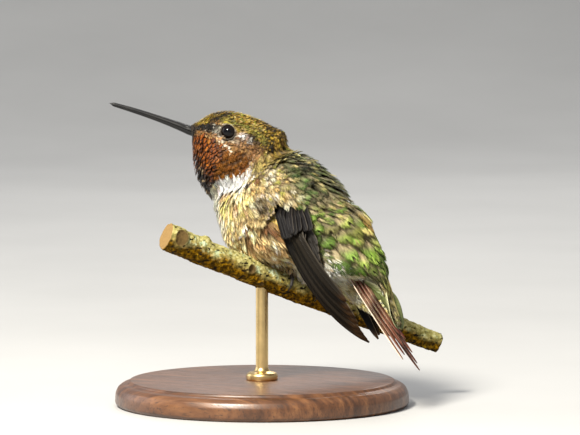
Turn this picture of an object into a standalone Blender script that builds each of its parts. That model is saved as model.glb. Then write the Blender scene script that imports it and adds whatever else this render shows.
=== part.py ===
"""Adult male ruby-throated hummingbird, perched, as a still life-size model on a stand.

The bird's mid-plane is parallel to XZ, it faces -X and its left side is towards -Y. Its head is
turned to its left. It grips a short cut length of branch, which one rod holds over a round base.
The origin is the centre of the base's underside, +Z is up, and the objects are in metres.
Sizes below are in millimetres, from a point between the feet; place() turns them into metres
and lifts that point to its height over the base.
"""
import math

import bmesh
import bpy
import numpy as np

MM = 0.001
LEFT = -1.0                          # the bird's own left and right, as signs of Y
RIGHT = 1.0
GAP = 0.3                            # clearance between neighbouring pieces

# Stand
BASE_RADIUS = 26.0
BASE_HEIGHT = 4.5
BASE_SIDES = 48
ROD_RADIUS = 1.1
ROD_SIDES = 24
ROD_SEAT = 1.5                       # how deep the rod goes into the branch
FLANGE_RADIUS = 2.8
FLANGE_HEIGHT = 1.0

# Branch: its axis passes under the feet, BRANCH_HEADING from +X towards +Y, and falls that way
BRANCH_RADIUS = 2.05
BRANCH_TAPER = 0.006                 # share of the radius lost in each millimetre
BRANCH_HEADING = math.radians(52)
BRANCH_SLOPE = math.radians(22)
BRANCH_DROP = 3.0                    # from the point between the feet down to the axis
BRANCH_BEND = 0.0006                 # rise of the axis for each square millimetre of reach
BRANCH_START = -27.0
BRANCH_END = 29.0
BRANCH_SIDES = 13
BRANCH_RINGS = 27
# Swellings: place along the axis, angle from the top, reach, height
BRANCH_KNOTS = (
    (-24.5, math.radians(-75), 1.8, 0.6),
    (-20.0, math.radians(-15), 1.0, 0.8),
    (-10.5, math.radians(30), 2.4, 0.3),
    (9.5, math.radians(-50), 2.2, 0.3),
    (21.0, math.radians(20), 2.8, 0.35),
)

ROD_REACH = 7.5                      # from the feet back along the branch to the rod
FEET = np.array((                    # the point between the feet, from the origin
    ROD_REACH * math.cos(BRANCH_SLOPE) * math.cos(BRANCH_HEADING),
    ROD_REACH * math.cos(BRANCH_SLOPE) * math.sin(BRANCH_HEADING),
    23.0,
))

# Body sections from the bill's base to the tips of the tail coverts. Each row is the point on
# the back (x, z), the point below (x, z), the half-width, and the share of the head's turn.
BODY = (
    (-20.1, 26.3, -20.0, 24.2, 1.1, 1.0),
    (-19.0, 27.1, -19.9, 22.9, 2.3, 1.0),
    (-17.5, 27.9, -19.8, 21.4, 3.5, 1.0),
    (-15.3, 28.6, -19.7, 19.4, 4.7, 1.0),
    (-12.8, 28.7, -19.3, 17.4, 5.4, 1.0),
    (-9.9, 28.0, -18.5, 15.6, 6.0, 1.0),
    (-6.9, 26.8, -17.6, 14.2, 6.6, 1.0),
    (-4.2, 24.8, -16.6, 12.6, 7.4, 0.8),
    (-2.0, 22.8, -16.0, 10.8, 8.4, 0.5),
    (0.3, 21.4, -15.4, 8.8, 9.5, 0.25),
    (3.7, 19.5, -14.3, 6.2, 10.3, 0.05),
    (7.0, 16.7, -12.9, 3.9, 10.7, 0.0),
    (10.0, 13.7, -10.6, 1.9, 10.5, 0.0),
    (12.7, 10.5, -6.0, -0.1, 9.8, 0.0),
    (14.8, 7.0, 0.0, -1.8, 8.4, 0.0),
    (16.5, 3.5, 5.7, -3.0, 6.9, 0.0),
    (17.9, -0.3, 10.6, -4.3, 5.2, 0.0),
    (19.4, -4.4, 14.4, -6.2, 3.8, 0.0),
    (20.5, -7.3, 17.6, -8.3, 2.5, 0.0),
)
BODY_PARTS = {"head": (0.0, 5.5), "neck": (5.5, 8.5), "trunk": (8.5, 14.5), "rump": (14.5, 18.0)}
BODY_SIDES = 28
RINGS_PER_SECTION = 2
HEAD_TURN = math.radians(28)
NECK_PIVOT = np.array((-7.46, 0.0, 19.4))

# Bill
BILL_BASE = np.array((-20.35, 0.0, 25.2))
BILL_LENGTH = 15.1
BILL_PITCH = math.radians(18.5)
BILL_DROOP = 0.45
BILL_SIDES = 12
BILL_RINGS = 12

# Eyes
EYE_RADIUS = 1.5
EYE_CENTRE = np.array((-13.1, 3.95, 25.2))

# Folded wing: the Bezier handles of its mid-line from wrist to tip (x, distance from the
# mid-plane, z). Places along it are shares of the curve, and the feathers' tips are listed from
# the leading primary inwards.
WING_LINE = np.array(((-2.5, 6.6, 17.6), (4.4, 9.6, 11.0), (7.0, 9.4, -1.5), (16.9, 4.5, -10.8)))
WING_SAG = {LEFT: 0.0, RIGHT: 1.2}   # how much lower each wing's tip hangs
WING_OUT = np.array((-0.15, 1.0, 0.1))
ARM_END = 0.30
ARM_HALF_WIDTH = 3.0
ARM_HALF_DEPTH = 1.4
ARM_RINGS = 8
PRIMARY_TIPS = (1.0, 0.985, 0.95, 0.90, 0.84, 0.77)
PRIMARY_HALF_WIDTH = 1.15
SECONDARY_TIPS = (0.50, 0.49, 0.475, 0.46)
SECONDARY_HALF_WIDTH = 0.95
WING_HALF_SPREAD = 1.6
VANE_THICKNESS = 0.5
VANE_STEP = 0.22                     # each feather lies this much outside its neighbour
VANE_RINGS = 8

# Tail: five pairs of feathers, the outer pair longest and lowest
TAIL_ROOT = np.array((13.4, 0.0, 0.6))
TAIL_PITCH = math.radians(51.5)
TAIL_ROLL = math.radians(17)
TAIL_LENGTHS = (10.3, 13.2, 15.5, 17.2, 18.1)
TAIL_SPREAD = 0.58
TAIL_STEP = 0.4
TAIL_SKEW = 0.3
TAIL_HALF_WIDTH = 1.2

# Legs and feet
FOOT_OFFSET = 2.7                    # from the middle, along the branch
TOE_RADIUS = 0.34
CLAW_RADIUS = 0.25
TOE_SPREAD = 1.0
TOE_POINTS = 7
FRONT_TOE_TURN = math.radians(118)
HIND_TOE_TURN = math.radians(-105)
SHANK_RADIUS = 0.45
SHANK_REACH = np.array((0.7, 0.0, 3.4))
PERCH_CLEARANCE = 1.25               # between the branch and the belly over the toes


def new_collection(name):
    collection = bpy.data.collections.new(name)
    bpy.context.scene.collection.children.link(collection)
    return collection


def material(name, colour, roughness, metallic=0.0):
    """A Principled material."""
    finish = bpy.data.materials.new(name)
    finish.use_nodes = True
    shader = finish.node_tree.nodes["Principled BSDF"]
    shader.inputs["Base Color"].default_value = (*colour, 1.0)
    shader.inputs["Roughness"].default_value = roughness
    shader.inputs["Metallic"].default_value = metallic
    return finish


def place(point):
    """A point in millimetres from the feet, in metres from the origin."""
    return tuple((FEET + point) * MM)


def unit(vector):
    return vector / np.linalg.norm(vector)


def mesh_object(name, points, faces, finish, collection):
    """A closed mesh with its faces pointing out and its round sides shaded smooth."""
    mesh = bpy.data.meshes.new(name)
    mesh.from_pydata([place(point) for point in points], [], faces)
    work = bmesh.new()
    work.from_mesh(mesh)
    bmesh.ops.recalc_face_normals(work, faces=work.faces)
    work.to_mesh(mesh)
    work.free()
    mesh.materials.append(finish)
    mesh.shade_smooth()
    mesh.set_sharp_from_angle(angle=math.radians(50))
    made = bpy.data.objects.new(name, mesh)
    collection.objects.link(made)
    return made


def loft(name, rings, finish, collection):
    """A closed skin through rings of equal counts of points, with a flat cap at each end."""
    rings = np.asarray(rings)
    count, sides = rings.shape[:2]
    faces = []
    for ring in range(count - 1):
        for side in range(sides):
            after = (side + 1) % sides
            near, far = ring * sides, (ring + 1) * sides
            faces.append((near + side, near + after, far + after, far + side))
    faces.append(tuple(range(sides)))
    faces.append(tuple(range((count - 1) * sides, count * sides)))
    return mesh_object(name, rings.reshape(-1, 3), faces, finish, collection)


def combine(target, tool, operation, solver="EXACT"):
    """Joins the tool to the target, or cuts it out, by a Boolean modifier."""
    step = target.modifiers.new(tool.name, "BOOLEAN")
    step.operation = operation
    step.solver = solver
    step.object = tool
    tool.hide_render = True
    tool.display_type = "WIRE"


def smooth_row(rows, place_along):
    """The row at a fractional place, by a Catmull-Rom curve through the rows."""
    rows = np.asarray(rows, dtype=float)
    last = len(rows) - 1
    first = min(int(place_along), last - 1)
    t = place_along - first
    a, b = rows[max(first - 1, 0)], rows[first]
    c, d = rows[first + 1], rows[min(first + 2, last)]
    return 0.5 * (2 * b + (c - a) * t + (2 * a - 5 * b + 4 * c - d) * t**2
                  + (3 * b - a - 3 * c + d) * t**3)


def turned(points, share=1.0):
    """Points of the head, turned about the upright line through the neck."""
    angle = HEAD_TURN * share
    offset = np.asarray(points) - NECK_PIVOT
    x, y, z = offset[..., 0], offset[..., 1], offset[..., 2]
    cos, sin = math.cos(angle), math.sin(angle)
    return NECK_PIVOT + np.stack((x * cos - y * sin, x * sin + y * cos, z), axis=-1)


def body_ring(section, shift):
    """An elliptical section of the body, moved along its own normal towards the tail."""
    back_x, back_z, under_x, under_z, half_width, share = smooth_row(BODY, section)
    back = np.array((back_x, 0.0, back_z))
    under = np.array((under_x, 0.0, under_z))
    rise = (back - under) / 2
    across = np.array((0.0, half_width, 0.0))
    tailward = unit(np.cross(across, rise))
    angles = np.arange(BODY_SIDES) * math.tau / BODY_SIDES
    centre = (back + under) / 2 + shift * tailward
    ring = centre + np.outer(np.cos(angles), rise) + np.outer(np.sin(angles), across)
    return turned(ring, share)


def body_part(name, finish, collection):
    """One length of the body, half a gap short of the joints with its neighbours."""
    start, end = BODY_PARTS[name]
    count = round((end - start) * RINGS_PER_SECTION) + 1
    rings = []
    for section in np.linspace(start, end, count):
        shift = GAP / 2 * (float(section == start) - float(section == end))
        rings.append(body_ring(section, shift))
    return loft(name, rings, finish, collection)


def bill(finish, collection):
    """Long, thin and slightly drooped, flatter at its base."""
    along = np.array((-math.cos(BILL_PITCH), 0.0, math.sin(BILL_PITCH)))
    rise = np.array((math.sin(BILL_PITCH), 0.0, math.cos(BILL_PITCH)))
    angles = np.arange(BILL_SIDES) * math.tau / BILL_SIDES
    rings = []
    for t in np.linspace(0.0, 1.0, BILL_RINGS):
        half_height = 0.5 + 0.36 * (1 - t) ** 3 - 0.18 * t**4
        half_width = half_height * (1.0 + 0.25 * (1 - t) ** 2)
        droop = BILL_DROOP * (0.5 - 2 * (t - 0.5) ** 2)
        centre = BILL_BASE + along * BILL_LENGTH * t + rise * droop
        ring = centre + np.outer(np.cos(angles) * half_height, rise)
        ring[:, 1] += np.sin(angles) * half_width
        rings.append(turned(ring))
    return loft("bill", rings, finish, collection)


def ball(name, centre, radius, finish, collection):
    """A UV sphere as an object of its own mesh."""
    bpy.ops.mesh.primitive_uv_sphere_add(segments=16, ring_count=10, radius=radius * MM,
                                         location=place(centre))
    made = bpy.context.object
    made.name = name
    made.data.materials.append(finish)
    made.data.shade_smooth()
    bpy.context.collection.objects.unlink(made)
    collection.objects.link(made)
    return made


def eye(name, side, finish, parts, cutters, head):
    """An eyeball in a socket cut into the head."""
    centre = turned(EYE_CENTRE * (1.0, side, 1.0))
    ball(name, centre, EYE_RADIUS, finish, parts)
    combine(head, ball(name + "_socket", centre, EYE_RADIUS + GAP, finish, cutters), "DIFFERENCE")


def wing_frame(share, side):
    """On the wing's mid-line: the point, and unit vectors along, across to the rear, and out."""
    a, b, c, d = WING_LINE
    rest = 1.0 - share
    point = a * rest**3 + 3 * b * rest**2 * share + 3 * c * rest * share**2 + d * share**3
    along = unit((b - a) * rest**2 + 2 * (c - b) * rest * share + (d - c) * share**2)
    out = unit(WING_OUT - along * np.dot(WING_OUT, along))
    across = np.cross(along, out)
    flip = np.array((1.0, side, 1.0))
    sag = WING_SAG[side] * share**2 * np.array((-0.5, 0.0, -1.0))
    return (point + sag) * flip, along * flip, across * flip, out * flip


def wing_arm(name, side, margin, finish, collection):
    """The feathered arm and coverts: a flattened pod, round at the wrist and blunt at its end."""
    angles = np.arange(BRANCH_SIDES) * math.tau / BRANCH_SIDES
    rings = []
    for t in np.linspace(0.0, 1.0, ARM_RINGS):
        point, along, across, out = wing_frame(t * ARM_END, side)
        swell = 0.3 + 0.7 * math.sqrt(1.0 - (1.0 - min(t / 0.5, 1.0)) ** 2)
        half_width = ARM_HALF_WIDTH * swell + margin
        half_depth = ARM_HALF_DEPTH * swell * (1.0 - 0.35 * t) + margin
        centre = point + along * margin * (2.0 * t - 1.0)
        rings.append(centre + np.outer(np.cos(angles) * half_width, across)
                     + np.outer(np.sin(angles) * half_depth, out))
    return loft(name, rings, finish, collection)


def vane_rings(centres, across, normals, half_width, half_depth):
    """Box sections of one flight feather, narrowing over its last fifth to a round tip."""
    rings = []
    last = len(centres) - 1
    for index, (centre, side, normal) in enumerate(zip(centres, across, normals)):
        t = index / last
        taper = math.sqrt(max(1.0 - (max(t - 0.72, 0.0) / 0.30) ** 2, 0.06))
        wide = side * half_width * taper
        deep = normal * half_depth
        rings.append([centre - wide - deep, centre + wide - deep,
                      centre + wide + deep, centre - wide + deep])
    return rings


def wing_vane(name, side, span, spread, level, half_width, half_depth, finish, collection):
    """One flight feather, on the share of the mid-line that span gives."""
    centres, acrosses, outs = [], [], []
    start, end = span
    for share in np.linspace(start, end, VANE_RINGS):
        point, _, across, out = wing_frame(share, side)
        centres.append(point + across * spread * (1.0 - 0.45 * share) + out * level)
        acrosses.append(across)
        outs.append(out)
    rings = vane_rings(centres, acrosses, outs, half_width, half_depth)
    return loft(name, rings, finish, collection)


def wing_feathers(name, side, finish, parts, cutters):
    """The primaries with the shorter secondaries over them, joined where they overlap."""
    count = len(PRIMARY_TIPS)
    joined = None
    for index, tip in enumerate(PRIMARY_TIPS):
        spread = WING_HALF_SPREAD * (2.0 * index / (count - 1) - 1.0)
        home = cutters if joined else parts
        label = name if joined is None else f"{name}_primary_{index}"
        start = ARM_END + 0.015 + 0.004 * index
        vane = wing_vane(label, side, (start, tip), spread, VANE_STEP * index,
                         PRIMARY_HALF_WIDTH, VANE_THICKNESS / 2, finish, home)
        if joined:
            combine(joined, vane, "UNION", "MANIFOLD")
        joined = joined or vane
    for index, tip in enumerate(SECONDARY_TIPS):
        spread = WING_HALF_SPREAD * (2.2 * index / (len(SECONDARY_TIPS) - 1) - 1.2)
        start = ARM_END + 0.017 + 0.004 * index
        vane = wing_vane(f"{name}_secondary_{index}", side, (start, tip), spread,
                         VANE_STEP * (index + 2.4), SECONDARY_HALF_WIDTH, VANE_THICKNESS / 2,
                         finish, cutters)
        combine(joined, vane, "UNION", "MANIFOLD")
    return joined


def wing_slot(name, side, finish, collection):
    """The space that the flight feathers need in the body beside them."""
    middle = VANE_STEP * (len(PRIMARY_TIPS) - 1) / 2
    centres, acrosses, outs = [], [], []
    for share in np.linspace(ARM_END, 0.8, VANE_RINGS):
        point, _, across, out = wing_frame(share, side)
        centres.append(point + out * (middle + 1.0))
        acrosses.append(across)
        outs.append(out)
    rings = []
    for centre, across, out in zip(centres, acrosses, outs):
        wide = across * (WING_HALF_SPREAD + PRIMARY_HALF_WIDTH + GAP)
        deep = out * (middle + VANE_THICKNESS / 2 + GAP + 1.0)
        rings.append([centre - wide - deep, centre + wide - deep,
                      centre + wide + deep, centre - wide + deep])
    return loft(name, rings, finish, collection)


def tail_frame():
    """Unit vectors along the tail, to its right and up from its back."""
    along = np.array((math.cos(TAIL_PITCH), 0.0, -math.sin(TAIL_PITCH)))
    up = np.array((math.sin(TAIL_PITCH), 0.0, math.cos(TAIL_PITCH)))
    level = np.array((0.0, 1.0, 0.0))
    right = level * math.cos(TAIL_ROLL) - up * math.sin(TAIL_ROLL)
    return along, right, np.cross(right, along) * -1.0


def tail(finish, parts, cutters):
    """Ten feathers, each pair under the one inside it."""
    along, right, up = tail_frame()
    joined = None
    for pair, length in enumerate(TAIL_LENGTHS):
        for side in (LEFT, RIGHT):
            aside = side * TAIL_SPREAD * (pair + 0.5)
            reach = length + TAIL_SKEW * aside
            root = TAIL_ROOT + right * aside - up * (TAIL_STEP * pair + 0.03 * side)
            start = 0.2 * pair + 0.1 * side
            centres = [root + along * t for t in np.linspace(start, reach, VANE_RINGS)]
            rings = vane_rings(centres, [right] * VANE_RINGS, [up] * VANE_RINGS,
                               TAIL_HALF_WIDTH, VANE_THICKNESS / 2)
            home = cutters if joined else parts
            label = f"tail_feather_{pair}_{'left' if side == LEFT else 'right'}" if joined else "tail"
            vane = loft(label, rings, finish, home)
            if joined:
                combine(joined, vane, "UNION", "MANIFOLD")
            joined = joined or vane
    return joined


def tail_slot(finish, collection):
    """The space that the tail's feathers need inside the coverts."""
    along, right, up = tail_frame()
    half_width = TAIL_SPREAD * (len(TAIL_LENGTHS) - 0.5) + TAIL_HALF_WIDTH + GAP
    half_depth = (TAIL_STEP * (len(TAIL_LENGTHS) - 1) + VANE_THICKNESS) / 2 + GAP
    middle = TAIL_ROOT - up * TAIL_STEP * (len(TAIL_LENGTHS) - 1) / 2
    rings = []
    for t in (-GAP, max(TAIL_LENGTHS)):
        centre = middle + along * t
        rings.append([centre - right * half_width - up * half_depth,
                      centre + right * half_width - up * half_depth,
                      centre + right * half_width + up * half_depth,
                      centre - right * half_width + up * half_depth])
    return loft("tail_slot", rings, finish, collection)


def branch_frame():
    """Unit vectors along the branch, to the bird's front, and up."""
    cos, sin = math.cos(BRANCH_HEADING), math.sin(BRANCH_HEADING)
    fall_cos, fall_sin = math.cos(BRANCH_SLOPE), math.sin(BRANCH_SLOPE)
    along = np.array((cos * fall_cos, sin * fall_cos, -fall_sin))
    front = np.array((-sin, cos, 0.0))
    return along, front, np.cross(along, front)


def branch_point(reach, angle=0.0, distance=0.0):
    """A point beside the branch's axis, at an angle from the top towards the bird's front."""
    along, front, top = branch_frame()
    axis = along * reach + np.array((0.0, 0.0, BRANCH_BEND * reach**2 - BRANCH_DROP))
    return axis + distance * (math.cos(angle) * top + math.sin(angle) * front)


def bark_radius(reach, angle):
    """The branch's own radius, with its ridges, taper and swellings."""
    ridges = 0.035 * math.sin(3 * angle + 0.35 * reach) + 0.025 * math.sin(5 * angle - 0.6 * reach)
    radius = BRANCH_RADIUS * (1.0 + ridges - BRANCH_TAPER * reach)
    for where, turn, size, height in BRANCH_KNOTS:
        arc = math.remainder(angle - turn, math.tau) * BRANCH_RADIUS
        radius += height * math.exp(-((reach - where) ** 2 + arc**2) / size**2)
    return radius


def perch(finish, collection):
    """The cut length of branch."""
    rings = []
    for reach in np.linspace(BRANCH_START, BRANCH_END, BRANCH_RINGS):
        angles = np.arange(BRANCH_SIDES) * math.tau / BRANCH_SIDES
        rings.append([branch_point(reach, turn, bark_radius(reach, turn)) for turn in angles])
    return loft("perch", rings, finish, collection)


def perch_clearance(finish, collection):
    """A plain tube round the branch that keeps the belly off it and off the toes."""
    angles = np.arange(BRANCH_SIDES) * math.tau / BRANCH_SIDES
    rings = []
    for reach in np.linspace(BRANCH_START, BRANCH_END, 9):
        distance = BRANCH_RADIUS + PERCH_CLEARANCE
        rings.append([branch_point(reach, turn, distance) for turn in angles])
    return loft("perch_clearance", rings, finish, collection)


def tube(name, path, radii, finish, collection):
    """A round tube along a path, made as a curve and turned into a closed mesh."""
    curve = bpy.data.curves.new(name, "CURVE")
    curve.dimensions = "3D"
    curve.bevel_depth = MM
    curve.bevel_resolution = 1
    curve.use_fill_caps = True
    spline = curve.splines.new("POLY")
    spline.points.add(len(path) - 1)
    for knot, point, radius in zip(spline.points, path, radii):
        knot.co = (*place(point), 1.0)
        knot.radius = radius
    guide = bpy.data.objects.new(name + "_guide", curve)
    collection.objects.link(guide)
    seen = guide.evaluated_get(bpy.context.evaluated_depsgraph_get())
    mesh = bpy.data.meshes.new_from_object(seen)
    bpy.data.objects.remove(guide)
    work = bmesh.new()
    work.from_mesh(mesh)
    bmesh.ops.remove_doubles(work, verts=work.verts, dist=1e-6)
    bmesh.ops.recalc_face_normals(work, faces=work.faces)
    work.to_mesh(mesh)
    work.free()
    mesh.materials.clear()
    mesh.materials.append(finish)
    mesh.shade_smooth()
    made = bpy.data.objects.new(name, mesh)
    collection.objects.link(made)
    return made


def toe(name, foot, lean, turn, finish, collection):
    """One toe and its claw, wrapped round the branch from the top of the foot."""
    path, radii = [], []
    for t in np.linspace(-0.08, 1.0, TOE_POINTS):
        radius = TOE_RADIUS + (CLAW_RADIUS - TOE_RADIUS) * max(t, 0.0) ** 2
        reach = foot + TOE_SPREAD * lean * (0.25 + 0.75 * math.sqrt(max(t, 0.0)))
        path.append(branch_point(reach, turn * t, BRANCH_RADIUS * 1.06 + GAP + radius))
        radii.append(radius)
    return tube(name, path, radii, finish, collection)


def shank(name, foot, radius, reach, finish, collection):
    """The bare lower leg, from the toes up into the belly."""
    bottom = branch_point(foot, 0.0, BRANCH_RADIUS * 1.06 + GAP + SHANK_RADIUS)
    path = [bottom + SHANK_REACH * t for t in np.linspace(0.0, reach, 4)]
    return tube(name, path, [radius] * 4, finish, collection)


def leg(name, side, finish, parts, cutters, trunk):
    """A shank with three toes over the front of the branch and one behind it."""
    foot = FOOT_OFFSET * side
    made = shank(name, foot, SHANK_RADIUS, 1.0, finish, parts)
    toes = [(lean, FRONT_TOE_TURN) for lean in (-1.0, 0.0, 1.0)] + [(0.0, HIND_TOE_TURN)]
    for index, (lean, turn) in enumerate(toes):
        piece = toe(f"{name}_toe_{index}", foot, lean, turn, finish, cutters)
        combine(made, piece, "UNION")
    socket = shank(name + "_socket", foot, SHANK_RADIUS + GAP, 1.12, finish, cutters)
    combine(trunk, socket, "DIFFERENCE")


def turned_piece(name, profile, sides, finish, collection):
    """A profile (radius, height) spun about the upright axis through the origin."""
    mesh = bpy.data.meshes.new(name)
    points = [(radius * MM, 0.0, height * MM) for radius, height in profile]
    mesh.from_pydata(points, [(i, i + 1) for i in range(len(points) - 1)], [])
    mesh.materials.append(finish)
    made = bpy.data.objects.new(name, mesh)
    collection.objects.link(made)
    screw = made.modifiers.new("turn", "SCREW")
    screw.steps = sides
    screw.render_steps = sides
    screw.use_merge_vertices = True
    screw.merge_threshold = 1e-6
    screw.use_smooth_shade = False
    return made


def stand(wood, metal, parts, cutters, branch):
    """A turned base, and the rod and flange that carry the branch."""
    edge = BASE_RADIUS
    top = BASE_HEIGHT
    turned_piece("stand_base", (
        (0.0, top), (edge - 2.6, top), (edge - 2.3, top - 0.5), (edge - 1.3, top - 0.7),
        (edge - 0.5, top - 1.3), (edge - 0.1, top - 2.2), (edge, 0.6), (edge - 0.6, 0.0),
        (0.0, 0.0)), BASE_SIDES, wood, parts)
    foot = top + GAP
    axis_height = FEET[2] + branch_point(-ROD_REACH)[2]
    tip = axis_height - BRANCH_RADIUS + ROD_SEAT
    flange = foot + FLANGE_HEIGHT
    turned_piece("stand_rod", (
        (0.0, tip), (ROD_RADIUS, tip), (ROD_RADIUS, flange + 0.8), (ROD_RADIUS + 0.4, flange + 0.2),
        (FLANGE_RADIUS - 0.3, flange), (FLANGE_RADIUS, flange - 0.4), (FLANGE_RADIUS, foot),
        (0.0, foot)), ROD_SIDES, metal, parts)
    seat = turned_piece("perch_seat", (
        (0.0, tip + GAP), (ROD_RADIUS + GAP, tip + GAP), (ROD_RADIUS + GAP, flange),
        (0.0, flange)), ROD_SIDES, metal, cutters)
    combine(branch, seat, "DIFFERENCE")


def clear_scene():
    for old in list(bpy.data.objects):
        bpy.data.objects.remove(old)


def main():
    clear_scene()
    parts = new_collection("hummingbird")
    cutters = new_collection("cutters")
    feathers_green = material("feathers_green", (0.20, 0.24, 0.08), 0.55)
    feathers_buff = material("feathers_buff", (0.50, 0.40, 0.24), 0.7)
    feathers_head = material("feathers_head", (0.22, 0.10, 0.05), 0.5)
    flight = material("flight_feathers", (0.035, 0.028, 0.025), 0.5)
    rectrix = material("tail_feathers", (0.10, 0.06, 0.055), 0.5)
    horn = material("bill_horn", (0.012, 0.012, 0.014), 0.35)
    eye_dark = material("eye_dark", (0.006, 0.005, 0.005), 0.06)
    foot_skin = material("foot_skin", (0.02, 0.018, 0.018), 0.45)
    bark = material("bark", (0.26, 0.19, 0.07), 0.9)
    walnut = material("walnut", (0.13, 0.065, 0.03), 0.4)
    brass = material("brass", (0.72, 0.52, 0.22), 0.3, 1.0)

    finishes = {"head": feathers_head, "neck": feathers_head,
                "trunk": feathers_buff, "rump": feathers_green}
    body = {name: body_part(name, finishes[name], parts) for name in BODY_PARTS}
    bill(horn, parts)
    branch = perch(bark, parts)
    clearance = perch_clearance(bark, cutters)
    for name in ("trunk", "rump"):
        combine(body[name], clearance, "DIFFERENCE")
    for label, side in (("left", LEFT), ("right", RIGHT)):
        eye("eye_" + label, side, eye_dark, parts, cutters, body["head"])
        leg("leg_" + label, side, foot_skin, parts, cutters, body["trunk"])
        wing = "wing_" + label
        wing_arm(wing, side, 0.0, feathers_buff, parts)
        wing_feathers(wing + "_feathers", side, flight, parts, cutters)
        pocket = wing_arm(wing + "_pocket", side, GAP, feathers_buff, cutters)
        slot = wing_slot(wing + "_slot", side, flight, cutters)
        for name in ("neck", "trunk", "rump"):
            combine(body[name], pocket, "DIFFERENCE")
            combine(body[name], slot, "DIFFERENCE")
    tail(rectrix, parts, cutters)
    combine(body["rump"], tail_slot(rectrix, cutters), "DIFFERENCE")
    stand(walnut, brass, parts, cutters, branch)


main()
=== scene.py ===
"""The looks of the perched hummingbird: one skin under a coat of modelled feathers, on a branch.

Lengths are in millimetres from the point between the feet, as in the CAD source, and place()
turns them into metres in the row frame. The body's surface has two coordinates: the section s,
which runs from the bill's base to the tail coverts, and phi, the angle round it from the back.
"""
import math

import bpy
import numpy as np
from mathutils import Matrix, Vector


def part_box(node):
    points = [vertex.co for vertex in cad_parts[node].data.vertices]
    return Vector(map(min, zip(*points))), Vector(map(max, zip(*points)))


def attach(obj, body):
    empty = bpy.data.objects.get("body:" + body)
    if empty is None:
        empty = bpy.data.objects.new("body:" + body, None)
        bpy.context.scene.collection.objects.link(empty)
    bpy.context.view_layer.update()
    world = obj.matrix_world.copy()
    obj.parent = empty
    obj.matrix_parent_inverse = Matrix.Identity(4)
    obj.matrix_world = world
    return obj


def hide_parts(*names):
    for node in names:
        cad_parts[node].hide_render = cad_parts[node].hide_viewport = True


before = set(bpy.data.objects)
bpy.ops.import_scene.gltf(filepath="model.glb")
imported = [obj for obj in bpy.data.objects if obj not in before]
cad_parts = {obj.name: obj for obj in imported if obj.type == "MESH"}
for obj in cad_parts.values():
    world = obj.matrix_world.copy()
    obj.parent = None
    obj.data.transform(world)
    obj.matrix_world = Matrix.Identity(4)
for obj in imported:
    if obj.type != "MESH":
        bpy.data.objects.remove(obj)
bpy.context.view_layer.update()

MM = 0.001
TAU = math.tau
LEFT, RIGHT = -1.0, 1.0              # the bird's own sides, as signs of Y
SIDES = ((LEFT, "left"), (RIGHT, "right"))
FAR = 9.0                            # more than any distance that matters here

# Sizes as in the CAD source, unless a comment says otherwise
# Each section: the back's x and z, the underside's x and z, half the width, and the head's turn
BODY = np.array((
    (-20.1, 26.3, -20.0, 24.2, 1.1, 1.0), (-19.0, 27.1, -19.9, 22.9, 2.3, 1.0),
    (-17.5, 27.9, -19.8, 21.4, 3.5, 1.0), (-15.3, 28.6, -19.7, 19.4, 4.7, 1.0),
    (-12.8, 28.7, -19.3, 17.4, 5.4, 1.0), (-9.9, 28.0, -18.5, 15.6, 6.0, 1.0),
    (-6.9, 26.8, -17.6, 14.2, 6.6, 1.0), (-4.2, 24.8, -16.6, 12.6, 7.4, 0.8),
    (-2.0, 22.8, -16.0, 10.8, 8.4, 0.5), (0.3, 21.4, -15.4, 8.8, 9.5, 0.25),
    (3.7, 19.5, -14.3, 6.2, 10.3, 0.05), (7.0, 16.7, -12.9, 3.9, 10.7, 0.0),
    (10.0, 13.7, -10.6, 1.9, 10.5, 0.0), (12.7, 10.5, -6.0, -0.1, 9.8, 0.0),
    (14.8, 7.0, 0.0, -1.8, 8.4, 0.0), (16.5, 3.5, 5.7, -3.0, 6.9, 0.0),
    (17.9, -0.3, 10.6, -4.3, 5.2, 0.0), (19.4, -4.4, 14.4, -6.2, 3.8, 0.0),
    (20.5, -7.3, 17.6, -8.3, 2.5, 0.0)))
LAST_SECTION = 18.0
HEAD_TURN = math.radians(28)
NECK_PIVOT = np.array((-7.46, 0.0, 19.4))
BILL_BASE = np.array((-20.35, 0.0, 25.2))
BILL_LENGTH = 15.1
BILL_PITCH = math.radians(18.5)
BILL_DROOP = 0.45
EYE_RADIUS = 1.5
EYE_CENTRE = np.array((-13.1, 3.95, 25.2))
EYE_LOOK = np.array((-0.22, 1.0, 0.10))      # this script's own
APERTURE = 1.22                      # half the width of the opening between the lids
WING_LINE = np.array(((-2.5, 6.6, 17.6), (4.4, 9.6, 11.0), (7.0, 9.4, -1.5), (16.9, 4.5, -10.8)))
WING_SAG = {LEFT: 0.0, RIGHT: 1.2}
WING_DROP = (-1.6, -0.7, -0.8)       # the CAD's far wing drops (-0.5, 0, -1)
WING_OUT = np.array((-0.15, 1.0, 0.1))
WING_HALF_SPREAD = 1.6
ARM_END = 0.30
PRIMARY_TIPS = (1.0, 0.985, 0.96, 0.935, 0.91, 0.88, 0.845, 0.80)    # six in the CAD
PRIMARY_REACH = {LEFT: 1.0, RIGHT: 0.97}     # this script's own
SECONDARY_TIPS = (0.50, 0.49, 0.475, 0.46)
VANE_STEP = 0.19                     # 0.22 in the CAD
TAIL_ROOT = np.array((13.4, 0.0, 0.6))
TAIL_PITCH = math.radians(51.5)
TAIL_ROLL = math.radians(17)
TAIL_LENGTHS = (10.3, 13.2, 15.5, 17.2, 18.1)
TAIL_SPREAD = 0.58
TAIL_STEP = 0.52                     # 0.4 in the CAD
TAIL_SKEW = 0.3
BRANCH_RADIUS = 2.05
BRANCH_TAPER = 0.006
BRANCH_HEADING = math.radians(52)
BRANCH_SLOPE = math.radians(22)
BRANCH_DROP = 3.0
BRANCH_BEND = 0.0006
BRANCH_START, BRANCH_END = -27.0, 29.0
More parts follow.
